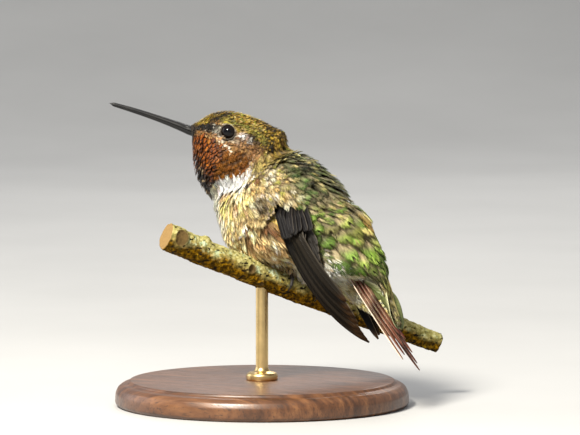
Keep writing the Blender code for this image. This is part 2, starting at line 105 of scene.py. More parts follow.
BRANCH_KNOTS = ((-24.5, math.radians(-75), 1.8, 0.6), (-20.0, math.radians(-15), 1.0, 0.8),
                (-10.5, math.radians(30), 2.4, 0.3), (9.5, math.radians(-50), 2.2, 0.3),
                (21.0, math.radians(20), 2.8, 0.35))
# Scars on the bark, this script's own: reach, angle from the top in degrees, and size
BRANCH_SCARS = ((-25.2, -75, 1.15), (9.5, -50, 0.55), (-7.9, -128, 0.45), (-10.6, -80, 0.75))
FOOT_OFFSET = 2.7
TOE_RADIUS = 0.34
SHANK_REACH = np.array((0.7, 0.0, 3.4))
ROD_RADIUS = 1.1

# Camera, lamps and floor, in metres
VIEW_AZIMUTH = math.radians(30)
VIEW_ELEVATION = math.radians(5)
VIEW_DISTANCE = 1.0
VIEW_WIDTH = 0.10265
VIEW_SHIFT = (-1.504, 10.0)          # mm from the feet to the picture's middle, right and up
LAMPS = (                            # azimuth and elevation in degrees, distance, size, watts
    ("key", -2, 46, 0.55, 0.14, 7.8, (1.0, 0.95, 0.84)),
    ("fill", -85, 15, 0.7, 0.5, 1.2, (0.93, 0.96, 1.0)),
    ("rim", 200, 40, 0.6, 0.3, 1.4, (1.0, 0.98, 0.94)))
FLOOR_WIDTH = 3.0
FLOOR_DEPTH = 1.6


# ---------------- numbers

def smooth(x, low, high):
    """0 below low, 1 above high, and an even S between them."""
    t = np.clip((x - low) / (high - low), 0.0, 1.0)
    return t * t * (3.0 - 2.0 * t)


def between(x, rise, risen, fall, fallen):
    """Up from rise to risen, and down again from fall to fallen."""
    return smooth(x, rise, risen) * (1 - smooth(x, fall, fallen))


def bell(x, centre, width):
    return np.exp(-((x - centre) / width) ** 2)


def spot(s, deg, at_s, at_deg, wide_s, wide_deg):
    """A soft round mark on the body."""
    return bell(s, at_s, wide_s) * bell(deg, at_deg, wide_deg)


def ripple(points, size, seed):
    """Smooth noise from -1 to 1 with swells about size across."""
    rng = np.random.default_rng(seed)
    total = np.zeros(points.shape[:-1])
    for _ in range(7):
        way = rng.normal(size=3)
        way *= TAU * (0.6 + 0.9 * rng.random()) / size / np.linalg.norm(way)
        total += np.sin(points @ way + TAU * rng.random())
    return total / 4.0


def streaks(s, deg, length, breadth, seed):
    """Smooth noise in streaks along the body: length in sections, breadth in degrees."""
    return ripple(np.stack((s / length, deg / breadth, 0 * s), -1), 1.0, seed)


def srgb(red, green, blue):
    """A screen colour, 0 to 255, in linear light."""
    c = np.array((red, green, blue)) / 255.0
    return np.where(c <= 0.04045, c / 12.92, ((c + 0.055) / 1.055) ** 2.4)


def mixed(first, second, share):
    return first * (1 - share) + second * share


def unit(v):
    return v / np.maximum(np.linalg.norm(v, axis=-1, keepdims=True), 1e-9)


def turned(points, share=1.0):
    """Points of the head, turned about the upright line through the neck."""
    angle = HEAD_TURN * np.asarray(share)
    o = np.asarray(points, float) - NECK_PIVOT
    cos, sin = np.cos(angle), np.sin(angle)
    return NECK_PIVOT + np.stack((o[..., 0] * cos - o[..., 1] * sin,
                                  o[..., 0] * sin + o[..., 1] * cos, o[..., 2]), -1)


def box_centre(node):
    low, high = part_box(node)
    return np.array((low + high) / 2) / MM


# The row frame's millimetres, from those about the feet: the CAD's eyes say where the head is.
FEET = (box_centre("eye_left") + box_centre("eye_right")) / 2 - turned(EYE_CENTRE * (1, 0, 1))


def place(points):
    return (np.asarray(points, float) + FEET) * MM


# ---------------- the body's surface

def body_rows(s):
    """BODY between its rows, on a smooth curve through them."""
    last = len(BODY) - 1
    first = np.clip(s.astype(int), 0, last - 1)
    t = (s - first)[..., None]
    a, b = BODY[np.maximum(first - 1, 0)], BODY[first]
    c, d = BODY[first + 1], BODY[np.minimum(first + 2, last)]
    return 0.5 * (2 * b + (c - a) * t + (2 * a - 5 * b + 4 * c - d) * t**2
                  + (3 * b - a - 3 * c + d) * t**3)


def ellipse_point(s, phi):
    """A point of the plain body, whose sections are ellipses."""
    row = body_rows(s)
    zero = np.zeros_like(s)
    back = np.stack((row[..., 0], zero, row[..., 1]), -1)
    under = np.stack((row[..., 2], zero, row[..., 3]), -1)
    point = (back + under) / 2 + np.cos(phi)[..., None] * (back - under) / 2
    point[..., 1] += np.sin(phi) * row[..., 4]
    return turned(point, row[..., 5])


# Forms that stand off the plain sections, as soft spots alike on both sides: height, section,
# angle from the back, and the two widths
RELIEF = (
    (0.35, 3.6, 40, 1.1, 12), (-0.30, 3.4, 66, 1.0, 9),          # brow, and lore before the eye
    (0.30, 5.2, 76, 1.1, 12), (0.25, 5.0, 118, 1.6, 26),         # cheek and jaw
    (-1.1, 11.9, 62, 0.9, 13), (-0.5, 13.3, 70, 0.8, 12),        # under the folded wing
    (0.45, 9.9, 84, 0.9, 18), (-1.1, 10.8, 77, 0.40, 9),         # side of the breast, wing's bend
    (0.35, 12.7, 16, 0.7, 24), (-0.45, 11.85, 20, 0.3, 26),      # rump, and the crease before it
    (-2.9, 13.95, 128, 0.95, 32), (-0.35, 1.2, 0, 0.9, 40))      # over the feet, forehead


def relief(s, deg, points):
    """How far the plumage stands off the plain sections: spots, ruffs, hollows and swells."""
    out = sum(height * spot(s, deg, *where) for height, *where in RELIEF)
    out += 0.60 * bell(s, 7.05, 0.45) * smooth(-deg, -45, -10)
    out -= 0.85 * bell(s, 8.0, 0.42) * smooth(-deg, -75, -20)
    out -= 0.60 * bell(s, gorget_edge(deg) + 0.55, 0.5) * smooth(deg, 75, 95)
    tail_base = smooth(s, 15.0, 15.9) * (1 - 0.8 * smooth(s, 15.9, 17.0))
    out -= 1.9 * tail_base * between(deg, 36, 58, 88, 108)
    wide = between(s, 8.0, 10.0, 16.5, 18.0)
    return out + 0.30 * wide * ripple(points, 7.0, 3) + 0.12 * wide * ripple(points, 2.6, 4)


def gorget_edge(deg):
    """The section where the throat patch ends, by angle from the back."""
    return np.interp(deg, (66, 71, 76, 84, 102, 124, 150, 165, 180),
                     (5.6, 6.85, 7.5, 7.75, 7.05, 6.3, 6.25, 6.55, 6.95))


def gorget_top(s):
    """The angle below which the throat patch lies."""
    return np.interp(s, (0.9, 1.6, 2.9, 4.8, 5.6, 6.1, 6.9, 7.6),
                     (112, 98, 83, 85, 87, 76, 70, 74))


def gorget_rear(s, deg):
    """1 on the smooth brown rear of the throat patch, 0 on its scaly front."""
    return smooth(s - 0.018 * (deg - 84), 4.5, 5.2) * (1 - smooth(deg, 122, 138))


def coat_depth(s, deg):
    """How thick the plumage lies over the skin."""
    depth = np.interp(s, (0, 1, 3, 5.5, 7, 9, 13, 15, 16, 17, 18, 20),
                      (0.12, 0.28, 0.4, 0.6, 0.9, 1.7, 1.9, 1.6, 0.9, 0.5, 0.4, 0.3))
    crown = 0.25 * smooth(-deg, -60, -30) * between(s, 1.0, 3.0, 7.0, 9.0)
    throat = 0.35 * smooth(deg, 90, 120) * between(s, 1.5, 3.5, 7.0, 9.0)
    return depth + crown + throat


GRID_S = np.linspace(0.0, 20.4, 613)
GRID_PHI = np.linspace(0.0, TAU, 577)
CELL_S = GRID_S[1] - GRID_S[0]
CELL_PHI = GRID_PHI[1] - GRID_PHI[0]
LEAST_GIRTH = 0.6                    # the least radius by which an angle is reckoned


def fold(phi):
    """The angle from the back in degrees, 0 to 180, alike on both sides."""
    return np.abs(np.degrees((np.asarray(phi) + math.pi) % TAU - math.pi))


def grid_normals(points):
    """Outward unit normals of a grid of sections that closes round phi."""
    along = np.gradient(points, axis=0)
    around = np.empty_like(points)
    around[:, 1:-1] = points[:, 2:] - points[:, :-2]
    around[:, 0] = around[:, -1] = points[:, 1] - points[:, -2]
    return unit(np.cross(along, around))


def build_surface():
    """The plumage's outer surface as a grid over GRID_S and GRID_PHI, and its normals. Past the
    last section it runs straight on, for the feathers that reach over the end."""
    s, phi = np.meshgrid(np.minimum(GRID_S, LAST_SECTION), GRID_PHI, indexing="ij")
    points = ellipse_point(s, phi)
    deg = fold(phi)
    pinch = 0.66 * smooth(s, 14.9, 16.6) * (1 - 0.35 * (1 - smooth(deg, 30, 60)))
    points[..., 1] *= 1 - pinch
    points += grid_normals(points) * relief(s, deg, points)[..., None]
    last = int(np.searchsorted(GRID_S, LAST_SECTION))
    step = points[last] - points[last - 1]
    for row in range(last + 1, len(GRID_S)):
        points[row] = points[row - 1] + step
    normals = grid_normals(points)
    normals[last + 1:] = normals[last - 1]
    return points, normals


OUTER, NORMAL = build_surface()
STEP_S = np.linalg.norm(np.gradient(OUTER, axis=0), axis=-1) / CELL_S
STEP_PHI = np.linalg.norm(np.gradient(OUTER, axis=1), axis=-1) / CELL_PHI
ARC = np.cumsum(STEP_S, axis=0) * CELL_S


def sample(grid, s, phi):
    """A grid's value between its lines."""
    x = np.clip(s / CELL_S, 0, len(GRID_S) - 1.001)
    y = (phi % TAU) / CELL_PHI
    i, j = x.astype(int), np.minimum(y.astype(int), len(GRID_PHI) - 2)
    u, v = x - i, y - j
    if grid.ndim == 3:
        u, v = u[..., None], v[..., None]
    return ((grid[i, j] * (1 - v) + grid[i, j + 1] * v) * (1 - u)
            + (grid[i + 1, j] * (1 - v) + grid[i + 1, j + 1] * v) * u)


def wing_frame(share, side):
    """On a folded wing's mid-line: the point, and unit vectors along, to the rear, and out."""
    a, b, c, d = WING_LINE
    rest = 1.0 - share
    point = a * rest**3 + 3 * b * rest**2 * share + 3 * c * rest * share**2 + d * share**3
    along = unit((b - a) * rest**2 + 2 * (c - b) * rest * share + (d - c) * share**2)
    out = unit(WING_OUT - along * np.dot(WING_OUT, along))
    across = np.cross(along, out)
    flip = np.array((1.0, side, 1.0))
    sag = WING_SAG[side] * share**2 * np.array(WING_DROP)
    return (point + sag) * flip, along * flip, across * flip, out * flip


def near_wing(points):
    """For points on the body: how far along the nearer wing each lies, and how far to its rear."""
    share_of, rear_of = np.zeros(len(points)), np.zeros(len(points))
    best = np.full(len(points), np.inf)
    for side, _ in SIDES:
        for share in np.linspace(0.0, 1.0, 61):
            point, _, across, _ = wing_frame(share, side)
            gap = points - point
            distance = np.linalg.norm(gap, axis=1)
            closer = distance < best
            best[closer] = distance[closer]
            share_of[closer] = share
            rear_of[closer] = (gap @ across)[closer]
    return share_of, rear_of


# ---------------- meshes

def tri_mesh(name, points, faces, fields=None, uvs=None):
    """A mesh object from triangles, with float or colour attributes on its points."""
    mesh = bpy.data.meshes.new(name)
    mesh.vertices.add(len(points))
    mesh.vertices.foreach_set("co", place(points).astype(np.float32).ravel())
    mesh.loops.add(faces.size)
    mesh.loops.foreach_set("vertex_index", faces.astype(np.int32).ravel())
    mesh.polygons.add(len(faces))
    mesh.polygons.foreach_set("loop_start", np.arange(0, faces.size, 3, dtype=np.int32))
    if uvs is not None:
        layer = mesh.uv_layers.new(name="OFBake")
        layer.data.foreach_set("uv", uvs[faces.ravel()].astype(np.float32).ravel())
    for key, value in (fields or {}).items():
        if value.ndim == 2:
            field = mesh.attributes.new(key, "FLOAT_COLOR", "POINT")
            full = np.concatenate((value, np.ones((len(value), 1))), 1)
            field.data.foreach_set("color", full.astype(np.float32).ravel())
        else:
            field = mesh.attributes.new(key, "FLOAT", "POINT")
            field.data.foreach_set("value", value.astype(np.float32))
    mesh.update(calc_edges=True)
    mesh.validate()
    mesh.shade_smooth()
    made = bpy.data.objects.new(name, mesh)
    bpy.context.scene.collection.objects.link(made)
    return made


def finish_piece(made, finish, slot, *nodes):
    """Gives a piece its material, parents it to the root, and hides the CAD nodes that it stands
    for; the slot is not used.
    """
    made.data.materials.append(finish)
    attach(made, "root")
    if nodes:
        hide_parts(*nodes)
    return made


def loft(rings):
    """Points and triangles of a closed skin through rings, each end closed to its middle."""
    rings = np.asarray(rings, float)
    count, sides = rings.shape[:2]
    points = np.concatenate((rings.reshape(-1, 3), rings[0].mean(0)[None], rings[-1].mean(0)[None]))
    side = np.arange(sides)
    after = (side + 1) % sides
    last, start, end = (count - 1) * sides, count * sides, count * sides + 1
    faces = []
    for ring in range(count - 1):
        near, far = ring * sides, (ring + 1) * sides
        faces.append(np.stack((near + side, near + after, far + after), 1))
        faces.append(np.stack((near + side, far + after, far + side), 1))
    faces.append(np.stack((np.full(sides, start), after, side), 1))
    faces.append(np.stack((np.full(sides, end), last + side, last + after), 1))
    faces = np.concatenate(faces)
    if np.linalg.det(points[faces] - points.mean(0)).sum() < 0:     # inside out
        faces = faces[:, ::-1]
    return points, faces


class Heap:
    """Closed shells gathered into one mesh, with the values of their points' fields."""

    def __init__(self):
        self.points, self.faces, self.fields, self.uvs, self.size = [], [], {}, [], 0

    def add(self, points, faces, uvs=None, **fields):
        self.points.append(points)
        self.faces.append(faces + self.size)
        self.size += len(points)
        for key, value in fields.items():
            value = np.asarray(value, float)
            if value.ndim == 0:
                value = np.full(len(points), value)
            self.fields.setdefault(key, []).append(value)
        if uvs is not None:
            self.uvs.append(uvs)

    def paint(self, colours):
        self.fields.setdefault("coat", []).append(colours)

    def mesh(self, name):
        fields = {key: np.concatenate(value) for key, value in self.fields.items()}
        uvs = np.concatenate(self.uvs) if self.uvs else None
        return tri_mesh(name, np.concatenate(self.points), np.concatenate(self.faces), fields, uvs)


# ---------------- feather patterns

def blade(start, end, half_width, steps, profile, height, aspect, sides=3, bow=0.0,
          lift=(0.0, 0.0)):
    """One closed blade of a feather, as (along, across, up) and triangles. Along is in lengths of
    the feather, across and up in its half-widths, and aspect is half-width over length. Each of
    the steps along it has a ring of points, as wide there as the profile says."""
    start, end = np.array(start, float), np.array(end, float)
    run = unit((end - start) * (1.0, aspect))
    aside = np.array((-run[1] * aspect, run[0]))
    points = [(start[0], start[1], lift[0])]
    for u in steps:
        middle = start + (end - start) * u + aside * bow * math.sin(math.pi * u)
        up = lift[0] + (lift[1] - lift[0]) * u
        wide = half_width * profile(u)
        for k in range(sides):
            a = math.pi * k / (sides - 1)
            edge = middle - aside * wide * math.cos(a)
            points.append((edge[0], edge[1],
                           up + height * math.sin(a) * (0.3 + 0.7 * profile(u))))
    points.append((end[0], end[1], lift[1]))
    faces = []
    last = len(points) - 1
    for k in range(sides):
        after = (k + 1) % sides
        faces.append((0, 1 + after, 1 + k))
        for ring in range(len(steps) - 1):
            near, far = 1 + ring * sides, 1 + (ring + 1) * sides
            faces.append((near + k, near + after, far + after))
            faces.append((near + k, far + after, far + k))
        near = 1 + (len(steps) - 1) * sides
        faces.append((near + k, near + after, last))
    return np.array(points), np.array(faces)


# How a blade's width runs from its root, u = 0, to its tip, u = 1

def round_tip(u):
    return (u ** 0.55) * math.sqrt(max(1.0 - u ** 7, 0.0)) * 1.05


def leaf(u):
    return math.sin(math.pi * min(u * 1.02, 1.0) ** 0.8) ** 0.7 if u < 0.98 else 0.1


def needle(u):
    return 1.0 - 0.75 * u


def pattern(blades):
    """A feather's shape: stacked blades, with a shade for each."""
    points, faces, shades, size = [], [], [], 0
    for (p, f), shade in blades:
        points.append(p)
        faces.append(f + size)
        shades.append(np.full(len(p), shade))
        size += len(p)
    return np.concatenate(points), np.concatenate(faces), np.concatenate(shades)


def scale_pattern(rng):
    """A small firm scale of the throat."""
    steps = (0.12, 0.42, 0.74, 0.93)
    return pattern([(blade((0, 0), (1, 0), 1.0, steps, round_tip, 0.10, 0.35, 5), 0)])


def lancet_pattern(rng):
    """A short hair-like feather of the face: three pointed blades."""
    aspect = 0.28
    parts = [(blade((0, 0), (0.95, 0), 0.75, (0.2, 0.55, 0.82), leaf, 0.14, aspect), 0.0)]
    for side in (-1, 1):
        end = (1.0 + rng.uniform(-0.15, 0.05), 0.8 * side)
        made = blade((0.1, 0.2 * side), end, 0.36, (0.35, 0.75), leaf, 0.12, aspect,
                     lift=(0, rng.uniform(0, 0.2)))
        parts.append((made, rng.uniform(-1, 1)))
    return pattern(parts)


def fan_pattern(rng, barbs=28, aspect=0.30, fine=0.075):
    """A soft vane combed into barbs, which lean forwards and end on a rounded outline."""
    parts = [(blade((0, 0), (0.80, 0), 0.68, (0.12, 0.4, 0.66, 0.88), round_tip, 0.08, aspect, 5),
              0.0)]
    for k in range(barbs):
        side = 1 if k % 2 else -1
        angle = math.radians(-14 + 98 * k / (barbs - 1)) + rng.normal() * 0.04
        tip = (0.55 + 0.45 * math.sin(angle) + rng.normal() * 0.03, side * math.cos(angle))
        start = (tip[0] - rng.uniform(0.30, 0.60), 0.25 * tip[1])
        made = blade(start, tip, fine, (0.3, 0.72), needle, 0.05, aspect, bow=0.08 * side,
                     lift=(0.10, rng.uniform(-0.03, 0.08)))
        parts.append((made, rng.uniform(-1, 1)))
    return pattern(parts)


def plume_pattern(rng, strands=26, fine=0.065, aspect=0.28):
    """A loose feather: a narrow vane under spreading barbs that cling in pointed locks."""
    parts = [(blade((0, 0), (0.66, 0), 0.45, (0.2, 0.55, 0.85), leaf, 0.04, aspect), -0.1)]
    locks = rng.uniform(-0.9, 0.9, 4)
    for across in np.linspace(-1.0, 1.0, strands):
        nearest = locks[np.argmin(np.abs(locks - across))]
        end = across * 0.45 + nearest * 0.55 + rng.normal() * 0.04
        start = (rng.uniform(0.02, 0.45) * (1.0 - 0.5 * abs(across)), 0.25 * across)
        reach = 1.0 - 0.22 * end**2 - 0.3 * abs(across - nearest) + rng.uniform(-0.06, 0.06)
        made = blade(start, (reach, end), fine, (0.35, 0.78), needle, 0.045, aspect,
                     bow=0.10 * across, lift=(0.02, rng.uniform(0.0, 0.10)))
        parts.append((made, rng.uniform(-1, 1)))
    return pattern(parts)


def down_pattern(rng, strands=16):
    """Fine silky strands without a vane."""
    parts = []
    for across in np.linspace(-1.0, 1.0, strands):
        across += rng.normal() * 0.12
        reach = 1.0 - 0.25 * across**2 + rng.uniform(-0.18, 0.08)
        start = (rng.uniform(0, 0.1), 0.1 * across)
        made = blade(start, (reach, across), 0.09, (0.35, 0.75), needle, 0.05, 0.3,
                     bow=0.15 * across, lift=(0.0, rng.uniform(-0.05, 0.3)))
        parts.append((made, rng.uniform(-1, 1)))
    return pattern(parts)


def brick_roots(spacing, stagger, rng, low=0.0, high=LAST_SECTION):
    """Rows of roots at even distances along and round the body, each row between the last's."""
    found_s, found_phi = [], []
    columns = np.arange(0, len(GRID_PHI), 4)
    first = ARC[np.searchsorted(GRID_S, low)].min()
    final = ARC[min(np.searchsorted(GRID_S, high), len(GRID_S) - 1)].max()
    for row, reach in enumerate(np.arange(first, final, spacing[0])):
        s = np.array([np.interp(reach, ARC[:, c], GRID_S) for c in columns])
        gaps = np.diff(sample(OUTER, s, GRID_PHI[columns]), axis=0)
        around = np.concatenate(([0], np.cumsum(np.linalg.norm(gaps, axis=1))))
        count = max(int(around[-1] / spacing[1]), 3)
        at = (np.arange(count) + 0.5 * (row % 2) + stagger * rng.normal(size=count)) / count
        at = (at % 1.0) * around[-1]
        phi = np.interp(at, around, GRID_PHI[columns])
        row_s = np.interp(at, around, s)
        row_s += stagger * rng.normal(size=count) * spacing[0] / sample(STEP_S, row_s, phi)
        found_s.append(row_s)
        found_phi.append(phi)
    s, phi = np.concatenate(found_s), np.concatenate(found_phi)
    inside = (s >= low) & (s <= high)
    return s[inside], phi[inside]


ROOT_LIFT = 0.04                     # a root's height over the skin, as a share of the coat


def home_uv(s, phi):
    """A feather root's place in the bake map, off the map's edges."""
    return np.stack((phi % TAU / TAU, s / GRID_S[-1]), -1) * 0.985 + 0.006


def grow(name, patterns, s, phi, seen_s, seen_phi, length, width, yaw, rise, rng, gap, thick=1.0,
         contrast=0.28, shade_depth=0.3, rim_start=0.93, blend=0.16):
    """One coat piece: a feather on each root, lying along the body and rising to its surface. Its
    markings are those of the place where its end shows. The gap is the share of a feather that
    the next row covers; there and towards its root it has the root's colour and a shadow."""
    heap = Heap()
    depth = coat_depth(s, fold(phi))
    step_s = sample(STEP_S, s, phi)
    step_phi = np.maximum(sample(STEP_PHI, s, phi), LEAST_GIRTH)
    tip, root, fringe_and_gap_shade, gloss, band = paint(seen_s, seen_phi, sample(OUTER, seen_s, seen_phi), rng)
    choice = rng.integers(len(patterns), size=len(s))
    for index, (shape, faces, shade) in enumerate(patterns):
        own = np.flatnonzero(choice == index)
        if not len(own):
            continue
        each = own[:, None]          # a row for each feather, and a column for each of its points
        along, across, up = shape.T
        ahead, aside = length[each] * along, width[each] * across
        cos, sin = np.cos(yaw[each]), np.sin(yaw[each])
        at_s = s[each] + (ahead * cos - aside * sin) / step_s[each]
        at_phi = phi[each] + (ahead * sin + aside * cos) / step_phi[each]
        lift = ROOT_LIFT + (rise[each] - ROOT_LIFT) * np.clip(along, 0, 1.2) ** 0.8
        height = depth[each] * (lift - 1.0) + up * width[each] * thick
        points = sample(OUTER, at_s, at_phi) + sample(NORMAL, at_s, at_phi) * height[..., None]

        start = gap + (1.0 - gap) * band[each]
        colour = mixed(root[each], tip[each], smooth(along, start, start + blend)[..., None])
        rim = (smooth(np.abs(across), 0.78, 1.0) * smooth(along, 0.6, 0.8)
               + smooth(along, rim_start, rim_start + 0.07))
        rim = np.clip(rim, 0, 1)[:, None] * fringe_and_gap_shade[each, 3:]
        colour = mixed(colour, fringe_and_gap_shade[each, :3], rim)
        shadow = 1 - shade_depth * (1 - smooth(along, gap - 0.06, gap + 0.10))
        colour = np.clip(colour * ((1 + contrast * shade) * shadow)[:, None], 0, 1)

        count, size = len(own), len(shape)
        every = (np.arange(count) * size)[:, None, None] + faces
        patch = np.stack((across * 0.5, along - 0.5), 1).clip(-0.5, 0.5) * 0.003
        uvs = home_uv(s[own], phi[own])[:, None] + patch
        heap.add(points.reshape(-1, 3), every.reshape(-1, 3), uvs.reshape(-1, 2),
                 coat=colour.reshape(-1, 3), along=np.tile(along, count),
                 across=np.tile(across, count), gloss=np.repeat(gloss[own], size))
    return heap.mesh(name)


# ---------------- markings

# Palettes: a weight, then a screen colour, 0 to 255
CROWN = ((2.4, 30, 22, 8), (2.4, 92, 70, 24), (4, 144, 114, 44), (2.6, 180, 150, 62),
         (1.2, 150, 154, 60), (1.0, 228, 200, 130))
CHEEK = ((1, 96, 66, 42), (3, 134, 96, 60), (3, 160, 120, 76), (1.2, 192, 152, 104))
FOREHEAD = ((4.2, 20, 15, 5), (2.2, 112, 88, 14), (2.6, 188, 156, 36))
CROWN_SIDE = ((1.5, 172, 156, 74), (2, 140, 138, 66), (1.2, 108, 90, 36), (0.5, 50, 38, 16))
LORE = ((9, 14, 12, 11), (1, 150, 144, 132))
EYE_RING = ((5, 30, 26, 22), (3, 100, 90, 76), (1, 220, 214, 202))
GAPE = ((2, 226, 178, 132), (2, 255, 240, 220))
COPPER = ((1.5, 54, 28, 12), (3, 94, 50, 22), (4, 126, 70, 32), (2, 158, 98, 50))
BROWN = ((2, 112, 70, 30), (3, 124, 78, 34), (2, 140, 90, 42))
DUSK = ((6, 22, 15, 10), (2, 52, 34, 22), (0.8, 150, 128, 98))
BREAST = ((0.7, 176, 122, 74), (2, 228, 194, 130), (3, 246, 226, 172), (3, 255, 246, 216))
FLANK = ((0.6, 166, 130, 66), (1.5, 208, 190, 96), (1.5, 240, 204, 150), (3, 238, 226, 136),
         (2, 254, 244, 190))
BELLY = ((0.8, 142, 108, 66), (2, 190, 160, 104), (3, 220, 194, 138), (2, 240, 222, 172),
         (1, 255, 248, 224))
RUST = ((2, 150, 84, 40), (1, 196, 140, 84))
MANTLE = ((2.6, 22, 26, 16), (3, 54, 62, 34), (2.6, 84, 96, 50), (1.6, 148, 142, 86),
          (0.8, 214, 200, 134))
SHOULDER = ((0.6, 132, 92, 52), (2, 186, 178, 84), (2, 222, 190, 120), (3, 240, 214, 156),
            (1.4, 255, 240, 214))
BACK_GREEN = ((1, 50, 78, 34), (2, 84, 122, 52))
NAPE = ((1, 110, 90, 44), (3, 170, 146, 76), (2, 208, 184, 104))
RUMP = ((1, 78, 98, 40), (2.5, 100, 130, 48), (3, 120, 154, 56), (2, 150, 174, 80),
        (1.0, 184, 180, 118))
TAIL_BASE = ((2, 50, 42, 26), (2, 92, 80, 44), (2, 112, 110, 58), (1, 160, 150, 92))
TAN = ((1, 84, 64, 34), (1, 150, 116, 62), (3, 230, 200, 134))
VENT = ((1, 222, 212, 176), (3, 252, 250, 238))
UNDER_TAIL = ((1, 240, 214, 140), (3, 255, 244, 190), (2, 255, 252, 226))
ROOTS = ((1, 136, 122, 92), (2, 180, 166, 128), (1, 214, 194, 150))

# Small marks of the face: strength, the spot's section, angle and two widths, and colour
FACE_SPOTS = (
    (1.2, 5.5, 57, 0.24, 3.6, (255, 254, 250)),       # the white spot behind the eye
    (0.8, 3.72, 66, 0.22, 6.0, (186, 180, 166)),      # a pale fleck before the eye
    (0.95, 4.9, 70, 0.6, 2.2, (230, 222, 206)),       # a pale line below it
    (0.95, 6.05, 52, 0.34, 4, (14, 12, 10)),          # a dark mark behind the white spot
    (0.95, 6.1, 59, 0.16, 3, (250, 248, 240)))        # a white fleck under that


def pick(rng, palette, drift, grain=0.55):
    """A colour for each feather; feathers of like drift get like colours."""
    weights = [weight for weight, *_ in palette]
    draw = smooth(0.75 * drift + grain * rng.normal(size=len(drift)), -1.15, 1.15)
    which = np.searchsorted(np.cumsum(weights) / sum(weights), draw)
    colours = np.array([srgb(*colour) for _, *colour in palette])
    return colours[np.minimum(which, len(palette) - 1)]


class Marks:
    """The colours of feathers as washes laid one over another."""

    def __init__(self, ground, rng):
        self.tip = ground.copy()
        self.rng = rng

    def lay(self, mask, colour):
        if isinstance(colour, tuple):
            colour = srgb(*colour)
        self.tip = mixed(self.tip, colour, np.clip(mask, 0, 1)[:, None])

    def draw(self, mask, palette, drift, grain=0.55):
        self.lay(mask, pick(self.rng, palette, drift, grain))


def head_marks(marks, s, deg, drift, to_eye):
    """Crown, face and throat. Returns where the throat is, and where its smooth brown rear is."""
    rng = marks.rng
    edge = gorget_edge(deg)
    lines = 1.3 * streaks(s, deg, 3.0, 6.0, 14)
    crown = pick(rng, CROWN, lines + 0.2 * drift, 0.25)
    cheek = pick(rng, CHEEK, 0.7 * lines + 0.5 * drift, 0.3)
    breast = smooth(s, edge - 0.05, edge + 0.05) * smooth(deg, 71, 75)
    marks.lay((1 - smooth(s, 7.2, 8.0)) * (1 - breast), cheek)
    marks.lay((1 - smooth(deg, 46, 55)) * (1 - smooth(s, 7.8, 8.6)), crown)
    marks.draw(0.85 * bell(deg, 40, 12) * between(s, 0.5, 1.0, 2.6, 3.4), FOREHEAD, lines, 0.3)
    marks.draw(0.85 * bell(deg, 42, 6.5) * between(s, 3.4, 4.0, 6.4, 7.4), CROWN_SIDE, lines, 0.3)
    brow = bell(deg, 54 - 30 * (s - 2.8), 7.0) * between(s, 2.3, 2.7, 3.9, 4.3)
    marks.lay(0.9 * brow, (20, 15, 8))
    marks.lay(0.8 * bell(deg, 55, 3.0) * between(s, 5.6, 6.2, 7.0, 7.8), (30, 26, 16))
    lore = between(s, 0.9, 1.5, 3.6, 4.1) * smooth(deg, 51, 56)
    lore = lore * (1 - smooth(deg, 73 - 3.0 * (s - 2), 78 - 3.0 * (s - 2)))
    marks.draw(lore, LORE, drift, 0.9)
    marks.lay((1 - smooth(s, 0.9, 1.7)) * smooth(deg, 42, 60), (16, 15, 15))
    marks.lay(1 - smooth(s, 0.4, 0.8), (18, 17, 17))
    marks.draw(0.9 * bell(to_eye, 1.60, 0.26), EYE_RING, rng.normal(size=len(s)))
    for strength, *where, colour in FACE_SPOTS:
        marks.lay(strength * spot(s, deg, *where), colour)
    # Painted highlight: a fine pale line on the feathers at the bill's base
    marks.lay(0.5 * bell(deg, 69, 1.2) * spot(s, deg, 1.2, 69, 0.5, 30), (190, 186, 176))
    gape = bell(deg, 75.5 + 6.6 * (s - 4.1), 2.3) * between(s, 3.5, 4.0, 5.5, 5.9)
    marks.draw(1.1 * gape, GAPE, drift)

    throat = (deg > gorget_top(s)) & (s < edge)
    rear = gorget_rear(s, deg)
    copper = pick(rng, COPPER, drift)
    colour = mixed(copper, pick(rng, BROWN, drift, 0.2), rear[:, None])
    low = smooth(deg, 122, 140) * smooth(s, 3.0, 4.4)
    colour = mixed(colour, pick(rng, DUSK, rng.normal(size=len(s))), low[:, None])
    chin = (1 - smooth(s, 0.9, 1.7)) * smooth(deg, 84, 96)
    colour = mixed(colour, srgb(38, 34, 31), chin[:, None])
    marks.tip[throat] = colour[throat]
    return throat, rear


